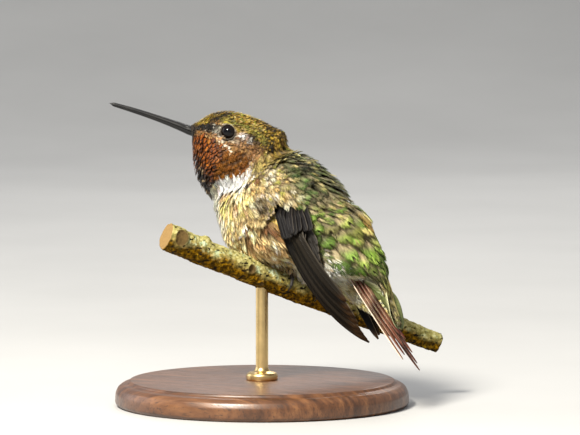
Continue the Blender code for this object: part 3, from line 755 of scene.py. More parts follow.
def paint(s, phi, points, rng):
    """The bird's markings at each root: tip, root and fringe colours (on the throat, painted
    shade), gloss, and where along the feather the tip's colour starts."""
    count = len(s)
    deg = fold(phi)
    swell = ripple(points, 4.5, 11)
    drift = 0.6 * ripple(points, 1.9, 12) + 0.6 * swell

    # Breast, flanks and belly
    lines = 1.1 * streaks(s, deg, 2.4, 9.0, 15) + 0.4 * drift
    marks = Marks(pick(rng, BREAST, lines, 0.3), rng)
    flank = pick(rng, FLANK, lines, 0.35)
    # The belly's colours, lightened towards the underside (angles 88 to 115) as painted light
    belly = pick(rng, BELLY, lines, 0.3) * (1 + 0.4 * smooth(deg, 88, 115)[:, None])
    side = smooth(deg, 66, 82)
    marks.lay(0.9 * side * smooth(swell, -0.5, 0.5) * (1 - smooth(s, 10.2, 11.6)), flank)
    marks.lay(side * smooth(s, 10.2, 11.6), np.clip(belly, 0, 1))
    marks.lay(0.8 * smooth(deg, 126, 146) * between(s, 6.0, 6.8, 9.5, 11), (228, 232, 222))
    edge = gorget_edge(deg)
    white = between(s, edge - 0.2, edge, edge + 1.15, edge + 1.7) * between(deg, 78, 88, 130, 142)
    white += 1.2 * bell(s, edge + 0.5, 0.5) * bell(deg, 75, 6)
    marks.lay(1.3 * white, (255, 255, 254))
    marks.draw(0.85 * bell(deg, 84, 5) * between(s, 11.7, 12.3, 13.4, 14.2), RUST, drift)

    # Back, scapulars and rump: green ends over buff
    upper = (1 - smooth(deg, 64, 76)) * smooth(s, 7.4, 8.6)
    marks.draw(upper, MANTLE, 1.2 * streaks(s, deg, 2.2, 11.0, 16) + 0.25 * drift, 0.3)
    shoulder = between(deg, 35, 44, 74, 90) * between(s, 8.2, 9.2, 11.3, 11.8)
    marks.draw(shoulder, SHOULDER, drift)
    marks.draw(0.9 * spot(s, deg, 10.6, 34, 0.8, 6), BACK_GREEN, drift)
    marks.lay(0.95 * spot(s, deg, 11.6, 44, 0.45, 8), (102, 146, 46))
    nape = (1 - smooth(deg, 66, 80)) * between(s, 6.8, 7.6, 8.3, 9.2) * smooth(deg, 10, 40)
    marks.draw(0.85 * nape, NAPE, lines)
    rump = (1 - smooth(deg, 70, 82)) * smooth(s, 11.5, 12.1)
    marks.draw(rump, RUMP, drift)
    tail_base = smooth(s, 15.5, 16.2) * (1 - smooth(deg, 90, 100))
    marks.draw(0.95 * tail_base, TAIL_BASE, drift, 0.8)
    # Painted shade: a dark spot in the hollow between the rump and the tail
    marks.lay(0.9 * spot(s, deg, 15.85, 42, 0.35, 14), (30, 24, 16))
    tan = rump * bell(deg, 14, 19) * (1 - smooth(s, 13.8, 15.2)) * smooth(drift, -0.5, 0.3)
    marks.draw(0.85 * tan, TAN, -drift)
    bar = np.maximum(spot(s, deg, 11.8, 26, 0.22, 20), spot(s, deg, 12.45, 4, 0.35, 11))
    marks.lay(0.95 * bar, (34, 26, 16))
    gloss = np.clip(0.12 * rump + 0.12 * upper * (1 - shoulder), 0, 0.5)
    # Painted shade: a dark brown spot in the hollow at the wing's bend
    marks.lay(0.9 * spot(s, deg, 10.85, 77, 0.34, 7), (52, 36, 20))

    # Under the tail: white down, then yellowish coverts
    vent = smooth(deg - 72 + 14 * smooth(s, 13.9, 14.6), 0, 6) * smooth(s, 13.7, 14.4)
    marks.draw(vent, VENT, drift)
    marks.draw(vent * smooth(s, 15.0, 15.9), UNDER_TAIL, drift)

    head = s < np.where(deg > 90, 7.6, 8.6)
    face = Marks(marks.tip[head], rng)
    throat, rear = np.zeros(count, bool), np.zeros(count)
    throat[head], rear[head] = head_marks(face, s[head], deg[head], drift[head],
                                          eye_distance(points)[head])
    marks.tip[head] = face.tip
    gloss = np.where(throat, 0.25 * (1 - 0.7 * rear), gloss)

    # Each feather's own shade, its paler or darker root, and its fringe. Darker roots are partly
    # the feathers' own dull bases and partly painted shade in the gaps between feathers; on the
    # throat the fringe is painted shade
    shades = 0.10 * rng.normal(size=(count, 1)) + 0.03 * rng.normal(size=(count, 3))
    tip = marks.tip * np.exp(shades)
    light = tip.mean(1, keepdims=True)
    # Darker than the tip: partly the feather's own dull base, partly painted shade in the gaps
    root = tip * 0.5 + srgb(110, 84, 50) * 0.2 + 0.35 * tip * smooth(light, 0.5, 0.8)
    base = pick(rng, ROOTS, drift)
    band = np.full(count, -0.6)
    plain = (upper > 0.5) & ~throat & (s > 8.6)
    on_rump = rump[plain]
    share = np.clip(0.3 + 0.7 * rump + 0.5 * shoulder, 0, 1)[plain, None]
    root[plain] = mixed(tip[plain] * 0.6, base[plain], share)
    band[plain] = rng.uniform(-0.5, 0.35, len(on_rump)) * (1 - 0.5 * on_rump) - 0.3 * on_rump
    # Throat roots at a third of the tip: partly dark bases, partly painted shade between the scales
    root[throat] = tip[throat] * 0.35
    fringe_and_gap_shade = np.concatenate((np.clip(tip * 1.25 + 0.03, 0, 1), np.full((count, 1), 0.3)), 1)
    fringe_and_gap_shade[plain, :3] = srgb(226, 208, 150)
    fringe_and_gap_shade[plain, 3] = rng.uniform(0.0, 0.36, len(on_rump)) * (1 - 0.7 * on_rump)
    edged = bar > 0.4
    fringe_and_gap_shade[edged, :3] = srgb(236, 214, 160)
    fringe_and_gap_shade[edged, 3] = 0.9
    # Painted shade: near-black rims on the throat's scales stand for the dark gaps between them
    fringe_and_gap_shade[throat, :3] = srgb(22, 12, 8)
    fringe_and_gap_shade[throat, 3] = 0.95 - rear[throat] * rng.uniform(0.45, 0.85, throat.sum())
    return np.clip(tip, 0, 1), np.clip(root, 0, 1), fringe_and_gap_shade, gloss, band


# ---------------- materials

class Look:
    """A procedural material in the making."""

    def __init__(self, name):
        self.material = bpy.data.materials.new(name)
        self.material.use_nodes = True
        self.tree = self.material.node_tree
        self.shader = self.tree.nodes["Principled BSDF"]

    def put(self, owner, inputs):
        """Sets a node's inputs, each to a value or to a socket to link from."""
        for key, value in inputs.items():
            if isinstance(value, bpy.types.NodeSocket):
                self.tree.links.new(value, owner.inputs[key])
            else:
                owner.inputs[key].default_value = value

    def node(self, kind, inputs, output=0, **settings):
        made = self.tree.nodes.new(kind)
        for key, value in settings.items():
            setattr(made, key, value)
        self.put(made, inputs)
        return made.outputs[output]

    def math(self, operation, *values, clamp=False):
        return self.node("ShaderNodeMath", dict(enumerate(values)), operation=operation,
                         use_clamp=clamp)

    def plus(self, first, second, clamp=False):
        return self.math("ADD", first, second, clamp=clamp)

    def minus(self, first, second):
        return self.math("SUBTRACT", first, second)

    def times(self, first, second):
        return self.math("MULTIPLY", first, second)

    def field(self, name, output="Fac"):
        return self.node("ShaderNodeAttribute", {}, output, attribute_name=name)

    def ramp(self, value, *stops):
        """A colour ramp from (place, colour) or (place, grey)."""
        made = self.tree.nodes.new("ShaderNodeValToRGB")
        self.put(made, {"Fac": value})
        elements = made.color_ramp.elements
        for at, _ in stops[2:]:
            elements.new(at)
        for element, (at, colour) in zip(elements, stops):
            element.position = at
            element.color = (*(np.zeros(3) + colour), 1.0)
        return made.outputs["Color"]

    def noise(self, scale, detail=3.0, roughness=0.55, stretch=None):
        where = self.node("ShaderNodeTexCoord", {}, "Object")
        if stretch is not None:
            where = self.node("ShaderNodeMapping", {"Vector": where, "Scale": stretch})
        return self.node("ShaderNodeTexNoise", {
            "Vector": where, "Scale": scale, "Detail": detail, "Roughness": roughness}, "Fac")

    def mix(self, factor, first, second, blend="MIX"):
        colours = [value if isinstance(value, bpy.types.NodeSocket) else (*value, 1.0)
                   for value in (first, second)]
        return self.node("ShaderNodeMix", {0: factor, 6: colours[0], 7: colours[1]}, 2,
                         data_type="RGBA", blend_type=blend)

    def done(self, colour, roughness, specular=0.5, bump=None, **others):
        """Sets the shader; bump is (height, strength, distance)."""
        self.put(self.shader, {"Base Color": colour, "Roughness": roughness,
                               "Specular IOR Level": specular})
        self.put(self.shader, {key.replace("_", " "): value for key, value in others.items()})
        if bump:
            inputs = dict(zip(("Height", "Strength", "Distance"), bump))
            self.put(self.shader, {"Normal": self.node("ShaderNodeBump", inputs)})
        return self.material


def plumage(name, barbs=26.0, lean=16.0, relief_mm=0.03, roughness=0.62, sheen=0.05,
            contrast=0.25, specular=0.25, saturation=1.15):
    """Feather: its own markings, fine barbs that leave the shaft at a slant, and a soft sheen."""
    look = Look(name)
    gloss = look.field("gloss")
    aside = look.math("ABSOLUTE", look.field("across"))
    phase = look.minus(look.times(look.field("along"), barbs), look.times(aside, lean))
    barb = look.math("SINE", look.plus(phase, look.times(look.noise(2400.0, 2.0), 3.0)))
    shaft = look.math("LESS_THAN", aside, 0.07)
    tone = look.plus(look.times(barb, 0.11), look.times(look.noise(1500.0, 4.0, 0.7), contrast))
    tone = look.minus(look.plus(tone, 1.0 - contrast / 2), look.times(shaft, 0.08))
    patch = look.ramp(look.noise(420.0, 3.0, 0.6), (0.3, 0.82), (0.7, 1.12))
    colour = look.mix(1.0, look.field("coat", "Color"), patch, "MULTIPLY")
    colour = look.node("ShaderNodeHueSaturation", {"Color": colour, "Value": tone,
                                                   "Saturation": saturation})
    rough = look.minus(roughness, look.times(gloss, 0.30))
    rough = look.plus(rough, look.times(barb, 0.06), clamp=True)
    return look.done(colour, rough, specular, (look.plus(barb, shaft), 0.5, relief_mm * MM),
                     Metallic=look.times(gloss, 0.55), Sheen_Weight=sheen, Sheen_Roughness=0.45)


def horn(name, base, worn, roughness):
    """Bill and claws: dark horn, with fine lines along it and slightly worn high spots."""
    look = Look(name)
    lines = look.noise(900.0, 4.0, 0.6, (0.35, 1.0, 1.0))
    blotch = look.ramp(look.noise(260.0, 3.0), (0.42, 0.0), (0.75, 1.0))
    rough = look.ramp(lines, (0.3, roughness - 0.08), (0.7, roughness + 0.12))
    return look.done(look.mix(blotch, base, worn), rough, 0.3, (lines, 0.35, 0.04 * MM))


def eye_material(name):
    """A dark iris round a black pupil, under a wet cornea."""
    look = Look(name)
    flecks = look.noise(5200.0, 3.0)
    iris = look.mix(flecks, (0.003, 0.0022, 0.002), (0.009, 0.005, 0.004))
    ring = look.ramp(look.field("rim"), (0.0, 0.0), (0.52, 0.0), (0.60, 1.0), (1.0, 1.0))
    return look.done(look.mix(ring, (0.002, 0.002, 0.003), iris),
                     look.ramp(flecks, (0.0, 0.03), (1.0, 0.07)), 0.22)


def skin_of_foot(name):
    """Dark horny scales with darker seams."""
    look = Look(name)
    where = look.node("ShaderNodeTexCoord", {}, "Object")
    cells = look.node("ShaderNodeTexVoronoi", {"Vector": where, "Scale": 5200.0}, "Distance",
                      feature="DISTANCE_TO_EDGE")
    colour = look.ramp(cells, (0.0, (0.010, 0.008, 0.007)), (0.12, (0.045, 0.038, 0.034)),
                       (0.6, (0.055, 0.047, 0.043)))
    return look.done(colour, look.ramp(cells, (0.0, 0.6), (0.4, 0.34)),
                     bump=(cells, 0.5, 0.06 * MM))


def bark_material(name):
    """Grey-olive bark above and golden brown below, with dark pits, lichen and cut wood."""
    look = Look(name)
    top = look.field("top")
    coarse = look.noise(260.0, 5.0, 0.62)
    fine = look.noise(1500.0, 5.0, 0.7)
    crust = look.noise(520.0, 4.0, 0.66)
    upper = look.ramp(fine, (0.25, srgb(70, 64, 34)), (0.5, srgb(150, 142, 84)),
                      (0.75, srgb(206, 198, 150)))
    under = look.ramp(fine, (0.3, srgb(22, 15, 0)), (0.48, srgb(70, 50, 0)),
                      (0.68, srgb(150, 108, 2)))
    side = look.ramp(look.plus(top, look.minus(coarse, 0.5)), (0.38, 0.0), (0.72, 1.0))
    colour = look.mix(side, under, upper)
    lichen = look.times(look.ramp(crust, (0.56, 0.0), (0.62, 1.0)), look.field("lichen"))
    pale = look.ramp(fine, (0.3, srgb(120, 146, 104)), (0.7, srgb(214, 224, 192)))
    colour = look.mix(lichen, colour, pale)
    gold = look.ramp(look.noise(700.0, 4.0, 0.7), (0.58, 0.0), (0.66, 0.55))
    colour = look.mix(look.times(gold, look.minus(1.0, top)), colour, srgb(214, 172, 40))
    pits = look.ramp(look.noise(950.0, 3.0, 0.5, (1.0, 1.0, 1.6)), (0.36, 1.0), (0.42, 0.0))
    colour = look.mix(pits, colour, srgb(26, 20, 10))
    scar = look.mix(fine, srgb(30, 22, 12), srgb(110, 88, 50))
    colour = look.mix(look.field("scar"), colour, scar)
    rings = look.math("SINE", look.times(look.field("reach"), 26.0))
    wood = look.mix(look.math("MULTIPLY_ADD", rings, 0.5), srgb(164, 136, 88), srgb(112, 82, 46))
    colour = look.mix(look.field("cut"), colour, wood)
    return look.done(colour, look.ramp(fine, (0.2, 0.95), (0.8, 0.78)), 0.1,
                     (look.plus(fine, crust), 0.7, 0.22 * MM))


def walnut_material(name):
    """Oiled walnut, its grain along X."""
    look = Look(name)
    grain = look.noise(90.0, 6.0, 0.6, (1.0, 9.0, 3.0))
    pores = look.noise(700.0, 3.0, 0.6, (0.6, 8.0, 3.0))
    colour = look.ramp(grain, (0.3, srgb(52, 31, 18)), (0.52, srgb(92, 58, 34)),
                       (0.7, srgb(122, 82, 50)))
    colour = look.mix(look.ramp(pores, (0.34, 0.6), (0.44, 0.0)), colour, srgb(34, 20, 12))
    return look.done(colour, look.ramp(pores, (0.3, 0.5), (0.6, 0.33)),
                     bump=(pores, 0.25, 0.08 * MM), Coat_Weight=0.25, Coat_Roughness=0.25)


def brass_material(name):
    """Brushed brass, a little tarnished."""
    look = Look(name)
    brushed = look.noise(1100.0, 4.0, 0.6, (1.0, 1.0, 0.06))
    tarnish = look.ramp(look.noise(240.0, 4.0), (0.45, 0.0), (0.8, 0.8))
    return look.done(look.mix(tarnish, (0.78, 0.56, 0.25), (0.42, 0.28, 0.12)),
                     look.ramp(brushed, (0.3, 0.22), (0.7, 0.36)),
                     bump=(brushed, 0.2, 0.03 * MM), Metallic=1.0)


def floor_material(name):
    look = Look(name)
    mottle = look.noise(14.0, 4.0)
    return look.done(look.ramp(mottle, (0.3, 0.40), (0.7, 0.44)),
                     look.ramp(mottle, (0.3, 0.7), (0.7, 0.8)))


# ---------------- skin

def eye_axis(side):
    """An eye's centre and the way it looks."""
    centre = turned(EYE_CENTRE * (1, side, 1))
    return centre, unit(turned((EYE_CENTRE + EYE_LOOK) * (1, side, 1)) - centre)


def about_eye(points, side):
    """How high each point stands along the way an eye looks, and how far beside that line."""
    centre, look = eye_axis(side)
    gap = points - centre
    height = gap @ look
    return height, np.linalg.norm(gap - height[..., None] * look, axis=-1)


def eye_distance(points):
    """How far each point lies from the line in which the nearer eye looks."""
    nearest = np.full(points.shape[:-1], FAR)
    for side, _ in SIDES:
        height, aside = about_eye(points, side)
        nearest = np.minimum(nearest, np.where(height > 0, aside, FAR))
    return nearest


def lids(points):
    """Draws the skin round each eye into a socket with a raised rim."""
    for side, _ in SIDES:
        _, look = eye_axis(side)
        height, radius = about_eye(points, side)
        ball = math.sqrt(EYE_RADIUS**2 - APERTURE**2)
        lid = ball + 0.20 * bell(radius, APERTURE + 0.12, 0.13) - 0.05
        socket = ball - 0.5 * smooth(APERTURE - radius, 0.0, 0.12)
        lid = np.where(radius < APERTURE, socket, lid)
        weight = (1 - smooth(radius, APERTURE + 0.35, APERTURE + 1.3)) * (height > -0.5)
        points = points + look * ((lid - height) * weight)[..., None]
    return points


def build_skin(finish):
    """One closed skin under the whole plumage, with the markings dulled and a rim at each eye."""
    rows = np.concatenate((np.linspace(0.0, 6.4, 140, endpoint=False), np.linspace(6.4, 17.7, 90)))
    s, phi = np.meshgrid(rows, np.linspace(0, TAU, 288, endpoint=False), indexing="ij")
    outer = sample(OUTER, s, phi)
    skin = lids(outer - sample(NORMAL, s, phi) * coat_depth(s, fold(phi))[..., None])
    points, faces = loft(skin)
    s, phi, outer, skin = s.ravel(), phi.ravel(), outer.reshape(-1, 3), skin.reshape(-1, 3)
    tip, root, *_ = paint(s, phi, outer, np.random.default_rng(5))
    tone = ripple(outer, 0.8, 21)
    colour = np.clip((tip * 0.5 + root * 0.35) * (1 + 0.2 * tone[:, None]), 0, 1)
    lid = 1 - smooth(eye_distance(outer), APERTURE + 0.15, APERTURE + 0.5)
    colour = mixed(colour, srgb(40, 34, 28), lid[:, None])
    for side, _ in SIDES:
        height, radius = about_eye(skin, side)
        near = (height > 0) & (radius < 3)
        ring = bell(radius, APERTURE + 0.06, 0.05) * near * (0.6 + 0.4 * tone)
        colour = mixed(colour, srgb(104, 97, 88), ring[:, None])
        inner = (1 - smooth(radius, APERTURE - 0.05, APERTURE + 0.06)) * near
        colour = mixed(colour, srgb(14, 12, 11), inner[:, None])
    colour = np.concatenate((colour, np.full((2, 3), 0.02)))
    uvs = home_uv(s, phi)
    zeros = np.zeros(len(points))
    fields = {"coat": colour, "along": zeros, "across": zeros + 0.5, "gloss": zeros}
    made = tri_mesh("bird_skin", points, faces, fields, np.concatenate((uvs, uvs[[0, -1]])))
    return finish_piece(made, finish, "body_feathers", "head", "neck", "trunk", "rump",
                        "wing_left", "wing_right")


# ---------------- the coat

VARIANTS = 7                         # patterns of each kind of feather
SHOWN_AT = 0.8                       # the share of a feather's length where its colour is read


def clear_of_eyes(s, seen_s, phi):
    """Roots whose feathers neither stand in the lids nor reach over them."""
    keep = np.ones(len(s), bool)
    for share in (0.0, 0.5, 1.0, 1.25):
        points = sample(OUTER, s + (seen_s - s) * share, phi)
        keep &= eye_distance(points) > APERTURE + 0.12
    return keep


def off_the_wing(s, phi):
    """Roots that leave the wing's flight feathers and the dark coverts over them in sight."""
    share, rear = near_wing(sample(OUTER, s, phi))
    front = np.interp(share, (0.20, 0.28, 0.37, 0.45, 0.70), (-0.8, -1.6, -2.3, -2.5, -2.2))
    behind = np.interp(share, (0.20, 0.28, 0.34, 0.42, 0.60, 0.70), (2.2, 2.7, 2.9, 3.2, 2.6, 0.8))
    top = 0.205 + 0.019 * (rear + 0.2)
    return ~((share > top) & (share < 0.72) & (rear > front) & (rear < behind))


def near_the_feet(s, phi):
    """Roots whose feathers would hang over the toes."""
    points = sample(OUTER, s, phi)
    close = np.zeros(len(s), bool)
    for side, _ in SIDES:
        gap = points - branch_point(FOOT_OFFSET * side, 0.0, BRANCH_RADIUS)
        close |= (gap[:, 2] < 3.4) & (np.hypot(gap[:, 0], gap[:, 1]) < 4.3)
    return close


def clear_below(s, phi):
    """Roots that leave both the wing and the feet in sight."""
    return off_the_wing(s, phi) & ~near_the_feet(s, phi)


# Where each coat piece grows, by the section and angle at which its feathers' ends show

def over_face(s, phi, deg):
    return (deg < gorget_top(s) + 1.0) & (s < 7.6)


def over_throat(s, phi, deg):
    return (deg > gorget_top(s)) & (s < gorget_edge(deg))


def throat_front(s, phi, deg):
    return over_throat(s, phi, deg) & (gorget_rear(s, deg) < 0.5)


def throat_rear(s, phi, deg):
    return over_throat(s, phi, deg) & (gorget_rear(s, deg) >= 0.5)


def over_neck(s, phi, deg):
    return (deg < 80) & ~over_throat(s, phi, deg)


def over_back(s, phi, deg):
    return (deg < 72) & off_the_wing(s, phi)


def over_rump(s, phi, deg):
    side = 80 - 20 * smooth(s, 13.9, 14.6)
    return (deg < side) & (s < 16.6 - 0.9 * smooth(deg, 24, 50)) & off_the_wing(s, phi)


def over_tail_base(s, phi, deg):
    return (deg < 88) & (s > 15.7)


def lower_side(side):
    """Breast and belly on one side."""
    def region(s, phi, deg):
        low = (deg >= 66) & (s > gorget_edge(deg)) & clear_below(s, phi)
        return low & (np.sign(np.sin(phi)) == side)
    return region


def under_tail(s, phi, deg):
    side = 70 - 13 * between(s, 13.9, 14.6, 15.4, 15.8)
    return (deg >= side) & clear_below(s, phi)


def over_thighs(s, phi, deg):
    return (deg > 90) & near_the_feet(s, phi)


# How far the feathers' lie turns down from straight back, in radians

def throat_droop(s, deg):
    return 0.42 * smooth(s, 3.4, 4.4) * (1 - smooth(deg, 120, 150))


def ruff_droop(s, deg):
    return 0.3 * (1 - smooth(s, 5.6, 6.6))


def belly_droop(s, deg):
    return 0.55 * between(deg, 76, 100, 140, 168) * (1 - smooth(s, 12.6, 14))


def along_body(value, s):
    """A value that is even, or given as ((sections), (values))."""
    if np.ndim(value) == 0:
        return np.full(len(s), value)
    return np.interp(s, *value)


def grow_piece(name, seed, kind, finish, slot, region, low, high, spacing, length, width,
               rise=(0.75, 1.1), stagger=0.25, yaw_spread=0.14, droop=None, **style):
    """Feathers of one kind between two sections, in the style that grow() is told; length and
    width are values along_body()."""
    rng = np.random.default_rng(seed)
    s, phi = brick_roots(spacing, stagger, rng, low, high)
    turn = np.sign(np.sin(phi)) * droop(s, fold(phi)) if droop else np.zeros(len(s))
    shown = SHOWN_AT * along_body(length, s)
    seen_s = s + shown * np.cos(turn) / sample(STEP_S, s, phi)
    seen_phi = phi + shown * np.sin(turn) / np.maximum(sample(STEP_PHI, s, phi), LEAST_GIRTH)
    keep = region(seen_s, seen_phi, fold(seen_phi)) & clear_of_eyes(s, seen_s, seen_phi)
    s, phi, seen_s, seen_phi, turn = (v[keep] for v in (s, phi, seen_s, seen_phi, turn))
    sway = 0.3 * ripple(sample(OUTER, s, phi), 5.0, seed) * (s > 8)
    yaw = rng.normal(size=len(s)) * yaw_spread + sway + turn
    lengths, widths = along_body(length, s), along_body(width, s)
    made = grow(name, [kind(rng) for _ in range(VARIANTS)], s, phi, seen_s, seen_phi,
                lengths * rng.uniform(0.82, 1.18, len(s)),
                widths * rng.uniform(0.88, 1.12, len(s)), yaw, rng.uniform(*rise, len(s)), rng,
                gap=1.0 - spacing[0] / float(lengths.mean()), **style)
    return finish_piece(made, finish, slot)


def make_coat(face, throat, back, soft):
    """The whole plumage, from the finishes of its four kinds."""
    grow_piece("coat_face", 31, lancet_pattern, face, "head_feathers", over_face, 0.12, 7.4,
               (0.46, 0.18), ((0, 2, 5, 7), (0.55, 0.95, 1.4, 1.9)),
               ((0, 2, 7), (0.10, 0.15, 0.25)), rise=(0.72, 1.15), thick=0.9,
               yaw_spread=0.2, contrast=0.25)
    grow_piece("coat_chin", 32, scale_pattern, throat, "head_feathers", over_throat, 0.3, 2.4,
               (0.34, 0.42), 0.95, 0.25, rise=(0.85, 1.1), stagger=0.12, yaw_spread=0.08)
    grow_piece("coat_throat", 30, scale_pattern, throat, "head_feathers", throat_front, 1.9, 8.2,
               (0.42, 0.80), ((2, 4, 7.5), (1.2, 1.5, 1.8)), ((2, 4, 7.5), (0.40, 0.54, 0.66)),
               rise=(0.84, 1.14), stagger=0.2, yaw_spread=0.16, thick=0.7, rim_start=0.84,
               droop=throat_droop)
    grow_piece("coat_ruff", 46, lambda rng: fan_pattern(rng, 30, 0.36, 0.06), throat,
               "head_feathers", throat_rear, 3.4, 8.2, (0.62, 0.95), 2.1, 0.78,
               rise=(0.95, 1.06), stagger=0.2, yaw_spread=0.10, thick=0.35, contrast=0.12,
               droop=ruff_droop)
    grow_piece("coat_neck", 33, fan_pattern, back, "head_feathers", over_neck, 6.3, 9.6,
               (0.84, 0.64), 2.7, 0.50, rise=(0.82, 1.08), yaw_spread=0.18)
    grow_piece("coat_back", 34, fan_pattern, back, "body_feathers", over_back, 9.0, 12.0,
               (1.15, 0.85), 3.9, 0.72, rise=(0.82, 1.08), stagger=0.32, yaw_spread=0.2)
    grow_piece("coat_rump", 35, lambda rng: fan_pattern(rng, 110, 0.36, 0.030), back,
               "rump_feathers", over_rump, 11.7, 16.6, (2.6, 2.6), 6.0, 2.3, rise=(0.9, 1.06),
               stagger=0.3, yaw_spread=0.2, contrast=0.2, shade_depth=0.5, blend=0.26)
    grow_piece("coat_tail_coverts", 47, lambda rng: fan_pattern(rng, 40, 0.34, 0.06), back,
               "rump_feathers", over_tail_base, 14.6, 17.7, (1.1, 1.0), 3.4, 1.0,
               rise=(0.75, 0.95), stagger=0.3, yaw_spread=0.12)
    for side, label in SIDES:
        region = lower_side(side)
        grow_piece("coat_breast_" + label, 36 + int(side), plume_pattern, soft, "body_feathers",
                   region, 5.0, 10.8, (0.72, 0.68), 3.2, 0.70, rise=(0.88, 1.08),
                   yaw_spread=0.22, contrast=0.18, shade_depth=0.14)
        grow_piece("coat_belly_" + label, 41 + int(side),
                   lambda rng: plume_pattern(rng, 30, 0.055, 0.22), soft, "body_feathers",
                   region, 10.3, 14.2, (1.05, 0.74), 4.4, 0.98, rise=(0.86, 1.06),
                   yaw_spread=0.16, contrast=0.22, shade_depth=0.2, droop=belly_droop)
    grow_piece("coat_vent", 44, down_pattern, soft, "body_feathers", under_tail, 14.0, 17.4,
               (0.80, 0.80), 2.8, 0.9, rise=(0.8, 1.1), yaw_spread=0.2, shade_depth=0.15)
    grow_piece("coat_thighs", 45, down_pattern, soft, "body_feathers", over_thighs, 12.6, 15.0,
               (0.55, 0.5), 1.1, 0.4, rise=(0.7, 1.0), yaw_spread=0.4, shade_depth=0.15)


# ---------------- wings and tail

VANE_COLUMNS = np.array((-1.0, -0.72, -0.38, -0.08, 0.0, 0.08, 0.38, 0.72, 1.0))
VANE_STATIONS = 26
VANE_THICKNESS = 0.14                # the CAD's vanes are 0.5 thick
SHAFT_HEIGHT = 0.07


def vane(centres, acrosses, outs, half_width, camber, heap):
    """A flight feather: two curved webs meeting at a raised shaft, closed underneath. Returns its
    points' places across and along it."""
    rings = []
    swell = VANE_THICKNESS * 0.5 * (0.3 + 0.7 * (1.0 - VANE_COLUMNS**2))
    for centre, across, out, wide in zip(centres, acrosses, outs, half_width):
        shaft = np.where(np.abs(VANE_COLUMNS) < 0.02, SHAFT_HEIGHT, 0.0) * min(wide / 0.5, 1.0)
        sag = camber * wide * VANE_COLUMNS**2
        middle = centre + np.outer(VANE_COLUMNS * wide, across)
        top = middle + np.outer(swell + shaft - sag, out)
        under = middle + np.outer(-swell - sag, out)
        rings.append(np.concatenate((top, under[::-1])))
    points, faces = loft(rings)
    ring_across = np.concatenate((VANE_COLUMNS, VANE_COLUMNS[::-1]))
    across = np.concatenate((np.tile(ring_across, len(rings)), (0.0, 0.0)))
    along = np.repeat(np.linspace(0, 1, len(rings)), len(ring_across))
    along = np.concatenate((along, (0.0, 1.0)))
    heap.add(points, faces, along=along, across=across, gloss=0.05)
    return across, along


def vane_profile(taper_start=0.72, root=0.55):
    """A flight feather's width along it: narrower at the root, and rounded off at the end."""
    t = np.linspace(0, 1, VANE_STATIONS)
    past = np.maximum(t - taper_start, 0) / (1.005 - taper_start)
    tip = np.sqrt(np.clip(1 - past**2.2, 0, 1))
    return tip * (root + (1 - root) * smooth(t, 0.0, 0.3))


# How high a wing feather may lie over the body's surface, as (shares of its length), (heights)
PRIMARY_MOST = ((0.0, 0.16, 0.27, 0.36, 0.48), (-1.8, -1.4, -0.4, 0.7, 9.0))
SECONDARY_MOST = ((0.0, 0.6, 0.8, 1.0), (-1.8, -1.0, 0.0, 1.1))
TERTIAL_TIPS = (0.61, 0.57, 0.53, 0.49)
COVERTS = 8


